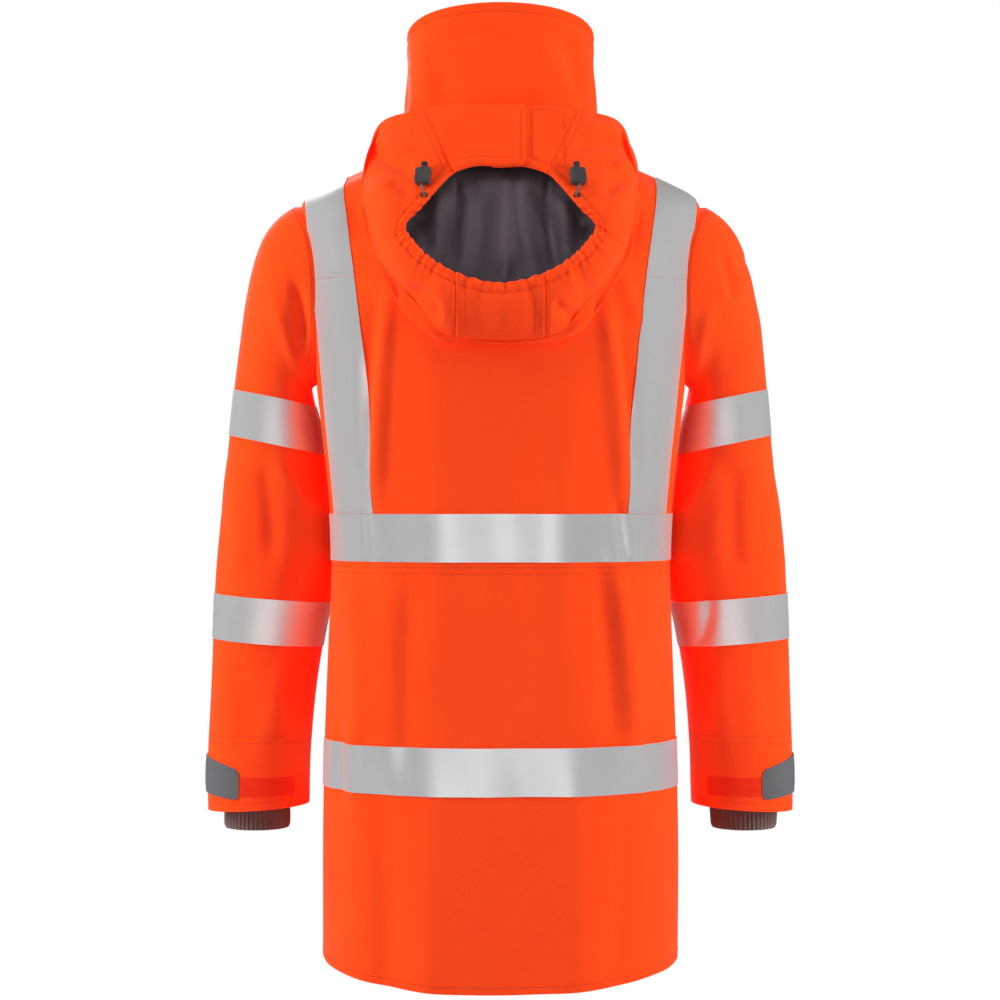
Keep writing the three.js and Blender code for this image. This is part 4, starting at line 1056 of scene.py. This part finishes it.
OUTS = np.linspace(0, 1, 61)
left_seam = seam_station(BRIM_SEAM_X, OUTS, 7, HOOD_LAST)
right_seam = seam_station(-BRIM_SEAM_X, OUTS, HOOD_LAST, 13)
HOOD_PANELS = table(
    "name from to columns wide",
    ("hood_side_left", CHIN_SEAM, SIDE_SEAM, 99, 0.17),
    ("hood_brim_left", SIDE_SEAM, left_seam, 81, 0.14),
    ("hood_brim_centre", left_seam, right_seam, 57, 0.12),
    ("hood_brim_right", right_seam, LAST - SIDE_SEAM, 81, 0.14),
    ("hood_side_right", LAST - SIDE_SEAM, LAST - CHIN_SEAM, 99, 0.17),
)


def from_ends(points):
    """Distance along each row to the nearer of its ends."""
    run = run_of(points, 1)
    return np.minimum(run, run[:, -1:] - run)


def hood_grid(start, end, columns):
    """Grid of hood points between two stations, with both ends rolled under at the seams."""
    start = np.broadcast_to(start, OUTS.shape)[:, None]
    end = np.broadcast_to(end, OUTS.shape)[:, None]
    part = np.linspace(1, 0, columns)[None, :]
    station = start + (end - start) * part
    points = hood_point(station, OUTS[:, None])
    near = from_ends(points)
    roll = -1.1 * (1 - smooth(0, 1.8, near)) + 0.3 * np.exp(-(((near - 3) / 2.5) ** 2))
    return points + grid_normals(points) * roll[..., None]


for panel in HOOD_PANELS:
    points = hood_grid(panel["from"], panel["to"], panel["columns"])
    thing = shell(panel["name"] + "_cloth", points, CLOTH, uv_of(points))
    piece_of(thing, shell_cloth, "shell", panel["name"])

# chin: the flap on the outside, from the left seam past the middle, and the piece under it
CHIN_PIECES = table(
    "name lift from to",
    ("hood_chin_flap", GAP + CLOTH, CHIN_EDGE_X, None), ("hood_chin_right", 0.0, None, CHIN_UNDER_X),
)


def chin_stations(x, out, tries):
    """Stations, among some to try, where the hood's plain outer side has this x at each out."""
    return np.array([np.interp(a, hood_base(tries, np.full_like(tries, b))[:, 0], tries)
                     for a, b in zip(x, out)])


for piece in CHIN_PIECES:
    edges = hood_base(np.full(OUTS.shape, 2.0), OUTS)[:, :1]
    low = -edges if piece["from"] is None else np.full_like(edges, piece["from"])
    high = edges if piece["to"] is None else np.full_like(edges, piece["to"])
    if piece["from"] is not None:
        corner = 7 * (1 - np.sqrt(1 - (1 - np.minimum(1, OUTS[:, None] * 76 / 7)) ** 2))
        low = low + corner
    x = low + (high - low) * np.linspace(0, 1, 81)[None, :]
    station = chin_stations(x, OUTS, np.linspace(-2, 2, 200))
    points = hood_point(station, OUTS[:, None], piece["lift"])
    roll = -0.7 * (1 - smooth(0, 1.5, from_ends(points)))
    points = (points + grid_normals(points) * roll[..., None])[::-1]
    thing = shell(piece["name"] + "_cloth", points, CLOTH * 0.95, uv_of(points))
    piece_of(thing, shell_cloth, "shell", piece["name"])


def curve_through(knots, at):
    """Catmull-Rom curve through the knots but the two outermost: the cubic on each span that
    leaves every knot along the chord of its neighbours."""
    i = np.minimum(at.astype(int), len(knots) - 4)
    t = (at - i).reshape(-1, *[1] * (knots.ndim - 1))
    a, b, c, d = (knots[i + k] for k in range(4))
    return 0.5 * (2 * b + (c - a) * t + (2 * a - 5 * b + 4 * c - d) * t ** 2
                  + (3 * b - a - 3 * c + d) * t ** 3)


def loop_rows(loops, rows):
    """Rows of a grid through a list of loops, one curve for each column."""
    knots = np.stack([2 * loops[0] - loops[1], *loops, 2 * loops[-1] - loops[-2]])
    return curve_through(knots, np.linspace(0, len(loops) - 1, rows))


def back_depth(x, z):
    """Depth of the body's plain back at a place seen from behind."""
    square = read(BODY, "z", "square", z)
    across = np.minimum(np.abs(x) / read(BODY, "z", "half", z), 0.97)
    return read(BODY, "z", "back", z) * (1 - across ** square) ** (1 / square)


def read_points(rows, keys, at):
    """Points whose x, y and z are read from three columns of a table."""
    return stack(*(read(rows, "n", key, at) for key in keys))


def towards(points, share, lift):
    """Points drawn in towards the hood's middle by a share, laid over the back with a lift."""
    x = points[..., 0] + (HOOD_MIDDLE[0] - points[..., 0]) * share
    z = points[..., 2] + (HOOD_MIDDLE[1] - points[..., 2]) * share
    return stack(x, back_depth(x, z) + lift, z)


def out_from(points, mm):
    """Points moved away from the hood's middle, as seen from behind, by some millimetres."""
    away = unit((points - (HOOD_MIDDLE[0], 0, HOOD_MIDDLE[1])) * (1, 0, 1))
    return points + away * mm


stations = np.linspace(LAST, 0, 241)
n = np.minimum(stations, LAST - stations)
rim = read_points(CROWN_ROUND, ("x", "y", "z"), stations)
fold_edge = hood_base(stations, np.ones_like(stations)) + (0, -5, -0.6)
under = smooth(SIDE_SEAM - 2, SIDE_SEAM - 1, n)[:, None]
start = (rim + (0, 3, 0)) * (1 - under) + fold_edge * under
crown_loops = [start, rim, towards(rim, 0.14, 3), towards(rim, 0.5, 2.6), towards(rim, 0.985, 2.6)]
points = loop_rows(crown_loops, 65)
part = np.linspace(0, 4, 65)[:, None]
puff = 1.6 * np.sin(stations * 2.3 + 0.8) + 1.1 * np.sin(stations * 5.1 - part)
puff = puff * smooth(0, 0.6, part) * (1 - smooth(1.2, 2.2, part)) * under[:, 0]
points = points + grid_normals(points, ring=True) * puff[..., None]
points[:, -1] = points[:, 0]
crown = shell("hood_crown_cloth", points, CLOTH, uv_of(points), ring=True, cap=True)
piece_of(crown, shell_cloth, "shell", "hood_crown")

# ---------------------------------------------------------------- hood lining
# Dark taffeta, sewn in along the opening's turned edge. It sags into the hood and lies over the
# back in long slack folds, with two seams that follow the crown's.

LINING_FOLDS = table(
    "x z x2 z2 wide deep bow",
    (-6, 14, -4, -108, 6, 5.5, 3), (8, 12, 12, -100, 9, -3.5, -3), (46, 8, 50, -84, 3, -3.6, 5),
    (38, 8, 40, -92, 6, 2.8, 5), (60, -4, 66, -76, 8, 3.2, -4), (82, -30, 74, -72, 8, -3, 3),
    (-24, 14, -38, -100, 9, 4.2, -5), (-50, 8, -56, -88, 3, -3.8, -6),
    (-62, -14, -72, -78, 7, 4.0, 4), (-86, -36, -78, -70, 8, -3, -2),
)
lining_cloth = cloth_material(
    "dark_taffeta", (0.08, 0.063, 0.076), (0.118, 0.094, 0.112), 0.5, 0.0008, 30, 0.00003,
    Sheen_Weight=0.05, Sheen_Roughness=0.35, Specular_IOR_Level=0.4,
)
opening = hood_base(stations, np.zeros_like(stations))
lining_loops = [
    out_from(opening, 1.5) + (0, -3, 0),
    out_from(opening, 5) + (0, -12, 0),
    towards(out_from(opening, 3), 0.0, 10),
    towards(opening, 0.5, 8),
    towards(opening, 0.985, 8),
]
points = loop_rows(lining_loops, 81)
x, z = points[..., 0], points[..., 2]
sag = folds_at(LINING_FOLDS, x, z)
sag = sag + 0.8 * np.sin(x / 7 + z / 19) + 0.6 * np.sin(x / 11 - z / 9)
calm = smooth(0.1, 1.0, np.linspace(0, 4, 81)[:, None])
points = points + stack(0 * x, np.maximum(sag, -3.2) * calm, 0 * x)
points[:, -1] = points[:, 0]
lining = shell("hood_lining_taffeta", points, 0.8, uv_of(points), ring=True, cap=True)
piece_of(lining, lining_cloth, "lining", "hood_lining")

# ---------------------------------------------------------------- hood neck
# On each side a shaped band of the shell cloth joins the hood to the neck seam, from the hood's
# side panel forward round the collar to the storm flap.

HOOD_NECK = table(
    "n footX footZ footY topX topZ topY",
    (0, 146.5, -2, 90, 127, 77.5, 51), (1, 147, 24, 48, 125, 75, 22), (2, 139, 36, 2, 119, 70, -14),
    (3, 119, 36, -46, 103, 64, -52), (4, 82, 20, -86, 72, 56, -86), (5, 38, 0, -104, 38, 50, -102),
)
for word, side in ARM_SIDES:
    n = np.linspace(0, 5, 101)[None, :]
    share = np.linspace(0, 1, 25)[:, None]
    foot = read_points(HOOD_NECK, ("footX", "footY", "footZ"), n)
    top = read_points(HOOD_NECK, ("topX", "topY", "topZ"), n)
    points = foot + (top - foot) * share[..., None]
    outward = unit(points * (1, 1, 0))
    slack = 20 * share * (1 - share) + 1.6 * np.sin(n * 4.4 + side) * np.sin(np.pi * share)
    slack = slack - 1.0 * smooth(0.94, 1, share)
    points = points + outward * slack[..., None]
    points = points * (side, 1, 1)
    points = points if side < 0 else points[:, ::-1]
    neck = shell(f"hood_neck_{word}_cloth", points, CLOTH, uv_of(points))
    piece_of(neck, shell_cloth, "shell", f"hood_neck_{word}")

# ---------------------------------------------------------------- cord locks
# On each side of the opening a smoky moulded cord lock grips the hood's drawcord: a barrel with
# a sprung button in its top, and the cord running from its foot into a metal eyelet in the tunnel.

LOCK = {"x": 79, "z": 4, "width": 18, "height": 20, "deep": 9, "stand": 1.6, "round": 5}
BARREL = table(
    "rise inset",
    (0, 1.8), (0.05, 1.1), (0.3, 0.5), (0.8, 0.15), (1.5, 0), (4, 0), (7, 0.1), (8, 0.5), (8.5, 1.1),
    (8.85, 1.9), (9, 3.2),
)
BUTTON = table(
    "along radius",
    (0.3, 2.5), (0.6, 2.7), (3.6, 2.7), (4.0, 3.3), (4.3, 3.6), (6.4, 3.6), (6.9, 3.2), (7.2, 2.3),
)
EYELET = {"z": -14, "thick": 1.4}
EYELET_RING = table(
    "rise radius", (0.2, 4.0), (0.8, 3.9), (1.4, 3.2), (1.4, 2.4), (0.8, 1.95), (0.2, 1.9),
)
SEAT_STEP = 0.12
CORD_RADIUS = 1.3
CORD_LEAD = 2.2


smoke = plain_material("smoky_plastic", (0.065, 0.062, 0.063), 0.3, Coat_Weight=0.15,
                       Coat_Roughness=0.2, Transmission_Weight=0.15, IOR=1.5)
smoke_dark = plain_material("button_plastic", (0.035, 0.035, 0.038), 0.35, IOR=1.5)
steel = plain_material("eyelet_steel", (0.12, 0.115, 0.11), 0.4, Metallic=0.9)
braid = plain_material("braided_cord", (0.13, 0.12, 0.125), 0.8)


def hood_seat(x, z):
    """Place on the hood's plain outer side nearest to a point seen from behind, with the
    surface's directions there: across, up and out."""
    station, out = np.meshgrid(np.arange(CHIN_SEAM, SIDE_SEAM, 0.02), np.arange(0, 1, 0.01))
    points = hood_base(station, out)
    best = np.argmin(np.hypot(points[..., 0] - x, points[..., 2] - z))
    station, out = station.ravel()[best], out.ravel()[best]
    around = hood_base(station + SEAT_STEP * np.array([-1, 1, 0, 0]),
                       out + SEAT_STEP * np.array([0, 0, -1, 1]))
    normal = unit(np.cross(around[1] - around[0], around[3] - around[2]))
    normal = normal if normal[1] > 0 else -normal
    up = unit(np.array([0, 0, 1]) - normal * normal[2])
    return {"point": points.reshape(-1, 3)[best], "across": np.cross(up, normal), "up": up, "out": normal}


def seated(points, seat, side):
    """Points given across, up and out of a seat, in place, mirrored for the right side."""
    place = seat["point"] + points[..., :1] * seat["across"] + points[..., 1:2] * seat["up"]
    return (place + points[..., 2:3] * seat["out"]) * (side, 1, 1)


def ring_body(name, points, side, material, slot_name, node, closed=False):
    """Body from rings of points: its two ends are flat faces, or its last ring meets the first."""
    ids = np.arange(points.shape[0] * points.shape[1]).reshape(points.shape[:2])
    quads = ring_quads(np.concatenate([ids, ids[:1]]) if closed else ids)[:, ::side]
    ends = [] if closed else [ids[0, ::-side].tolist(), ids[-1, ::side].tolist()]
    thing = new_object(name, points, quads.tolist() + ends)
    piece_of(thing, material, slot_name, node)


def rounded_ring(width, height, radius, inset, count=64):
    """Outline of a rounded rectangle, drawn in by an inset."""
    turn = np.linspace(0, 2 * np.pi, count, endpoint=False)
    core_x, core_y = width / 2 - radius, height / 2 - radius
    r = np.maximum(radius - inset, 0.05)
    x = np.clip(np.cos(turn) * 3, -1, 1) * core_x + np.cos(turn) * r
    y = np.clip(np.sin(turn) * 3, -1, 1) * core_y + np.sin(turn) * r
    return x, y


lock_seat = hood_seat(LOCK["x"], LOCK["z"])
eyelet_seat = hood_seat(LOCK["x"], EYELET["z"])
turn = np.linspace(0, 2 * np.pi, 40, endpoint=False)
middle = LOCK["stand"] + LOCK["deep"] / 2
top = LOCK["height"] / 2
for word, side in ARM_SIDES:
    rings = []
    for row in BARREL:
        x, y = rounded_ring(LOCK["width"], LOCK["height"], LOCK["round"], row["inset"])
        waist = 1 - 0.07 * np.exp(-((y / 4.5) ** 2))
        rings.append(stack(x * waist, y, LOCK["stand"] + row["rise"]))
    ring_body(f"cord_lock_{word}_barrel", seated(np.array(rings), lock_seat, side), side, smoke,
              "cord_lock", f"cord_lock_{word}")
    rings = [stack(np.cos(turn) * row["radius"], row["along"] + top,
                   middle - np.sin(turn) * row["radius"]) for row in BUTTON]
    ring_body(f"cord_button_{word}", seated(np.array(rings), lock_seat, side), side, smoke_dark,
              "cord_lock", f"cord_plunger_{word}")
    rings = [stack(np.cos(turn) * row["radius"], np.sin(turn) * row["radius"], row["rise"] + GAP)
             for row in EYELET_RING]
    ring_body(f"cord_eyelet_{word}_ring", seated(np.array(rings), eyelet_seat, side), side, steel,
              "eyelet", f"cord_eyelet_{word}", closed=True)
    # the cord: a smooth curve from the barrel's foot to the eyelet, round in section
    foot = lock_seat["point"] + lock_seat["out"] * middle - lock_seat["up"] * (top + 0.6)
    hole = eyelet_seat["point"] + eyelet_seat["out"] * (EYELET["thick"] + 1.2)
    knots = np.array([foot + lock_seat["up"], foot, foot - lock_seat["up"] * CORD_LEAD,
                      hole + eyelet_seat["out"] * CORD_LEAD, hole, hole - eyelet_seat["out"]])
    at = np.linspace(0, 2.999, 40)
    path = curve_through(knots, at)
    run = unit(np.gradient(path, axis=0))
    aside = unit(np.cross(run, lock_seat["across"]))
    other = np.cross(run, aside)
    round_ = np.linspace(0, 2 * np.pi, 24, endpoint=False)[None, :, None]
    twist = 1 + 0.07 * np.cos(4 * round_ + (at[:, None, None] + 1) * 9)
    ring = aside[:, None] * np.cos(round_) + other[:, None] * np.sin(round_)
    tube = (path[:, None] + ring * CORD_RADIUS * twist) * (side, 1, 1)
    ring_body(f"cord_{word}_braid", tube, side, braid, "cord", f"cord_{word}")

# ---------------------------------------------------------------- seams' stitching
# Lockstitch in matching thread: the hem, the turned edges of cuffs, collar and hood, the double
# rows beside the hood's seams, the armholes, and across the braces' joins.


def sew(name, path, inside, owner="shell", material=thread, pitch=3.4):
    """Stitches along a path on a piece, raised away from the points inside it."""
    stitches(name, path, unit(path - inside), owner, material, pitch)


round_body = np.linspace(-0.5, 0.5, 600)
for name, z in (("hem", -815), ("under_belt", -398.5), ("under_belt_second", -405)):
    z = np.full_like(round_body, z)
    sew(f"stitch_{name}", body_surface(round_body, z, 0.12), body_surface(round_body, z, 0.12 - 5))
collar_share = np.linspace(-0.5, 0.5, 400)
collar_z = np.full_like(collar_share, 191.0)
path = body_surface(collar_share, collar_z, collar_lift(collar_share, collar_z) + 0.25)
sew("stitch_collar", path, body_surface(collar_share, collar_z, -5.0))
flap_rows = np.linspace(HEM_Z + 3, 189, 500)
for x, word in ((FLAP["left"] - 7, "left"), (FLAP["right"] + 7, "right")):
    share = share_at(np.full_like(flap_rows, x), flap_rows, behind=False)
    path = body_surface(share, flap_rows, FLAP["lift"] + 0.15)
    keep = (np.abs(flap_rows - BELTS[0]["z"]) > 27) & (np.abs(flap_rows - BELTS[1]["z"]) > 27)
    sew(f"stitch_flap_{word}", path[keep], body_surface(share, flap_rows, -5.0)[keep])

for word, side in ARM_SIDES:
    turn = np.linspace(0, 2 * np.pi, 400)
    for name, n in (("cuff_edge", 15.82), ("cuff_turn", 14.45), ("cuff_turn_second", 14.3)):
        n = np.full_like(turn, n)
        path = sleeve_surface(word, side, turn, n, 0.1)
        sew(f"stitch_{name}_{word}", path, sleeve_surface(word, side, turn, n, -5.0))
    n = armhole_stations(turn)
    form = sleeve_base(turn, n + 0.05)
    reach = np.linalg.norm(form - sleeve_base(turn, n), axis=-1) / 0.05
    n = n + 7 / np.maximum(reach, 8)
    path = sleeve_surface(word, side, turn, n, 0.1)
    depth = sleeve_groove(path, side)
    path = sleeve_surface(word, side, turn, n, 0.15 - depth)
    sew(f"stitch_armhole_{word}", path, sleeve_surface(word, side, turn, n, -6.0))
    for height, name in ((BRACE_JOIN + 3.5, "join"), (BELTS[0]["z"] + TAPE_WIDTH / 2 + 3, "foot")):
        z = np.full(60, height)
        c = np.linspace(0.02, 0.98, 60)
        x = brace_x(z, c)
        for face, behind in (("back", True), ("front", False)):
            share = share_at(side * x, z, behind)
            path = body_surface(share, z, TAPE_LIFT + 0.35)
            sew(f"stitch_brace_{name}_{face}_{word}", path, body_surface(share, z, -5.0),
                owner="tape", material=silver_thread, pitch=2.6)


def hood_path(name, station, out, lift=0.15):
    """Stitches through hood points given by station and share out."""
    sew(name, hood_point(station, out, lift), hood_point(station, out, lift - 5.0))


def beside(station, out, mm):
    """Stations moved along the hood by some millimetres."""
    step = hood_base(station + 0.05, out) - hood_base(station - 0.05, out)
    return station + mm * 0.1 / np.linalg.norm(step, axis=-1)


fine = np.linspace(0.03, 0.985, 120)
seams = {
    "chin_left": np.full_like(fine, CHIN_SEAM),
    "side_left": np.full_like(fine, SIDE_SEAM),
    "brim_left": np.interp(fine, OUTS, left_seam),
    "brim_right": np.interp(fine, OUTS, right_seam),
    "side_right": np.full_like(fine, LAST - SIDE_SEAM),
    "chin_right": np.full_like(fine, LAST - CHIN_SEAM),
}
ROWS_BESIDE = {
    "chin_left": (4, 9), "side_left": (4,), "brim_left": (-4, 4, 10), "brim_right": (-10, -4, 4),
    "side_right": (-4,), "chin_right": (-4, -9),
}
for name, mms in ROWS_BESIDE.items():
    for i, mm in enumerate(mms):
        hood_path(f"stitch_hood_{name}_{i}", beside(seams[name], fine, mm), fine)
station = np.linspace(CHIN_SEAM + 0.05, LAST - CHIN_SEAM - 0.05, 900)
hood_path("stitch_hood_tunnel", station, 11 / edge_to_fold(station))

# on the chin: a row inside the flap's free edge, and a stitched oblong on the piece under it
tries = np.linspace(-2, 2, 200)
down = np.linspace(0.06, 0.95, 100)
beside_edge = np.full(100, CHIN_EDGE_X + 4.5)
flap_across = np.linspace(CHIN_EDGE_X + 6, 40, 100)
low = np.full(100, 0.14)
for name, x, out in (("flap", beside_edge, down), ("flap_foot", flap_across, low)):
    hood_path(f"stitch_chin_{name}", chin_stations(x, out, tries), out, GAP + CLOTH + 0.12)
turn = np.linspace(0, 2 * np.pi, 300)
box_x = -50 + 17 * powered(np.cos(turn), 0.25)
box_out = 0.53 + 0.4 * powered(np.sin(turn), 0.25)
tries = np.linspace(-3.2, 0, 300)
hood_path("stitch_chin_oblong", LAST + chin_stations(box_x, box_out, tries), box_out)
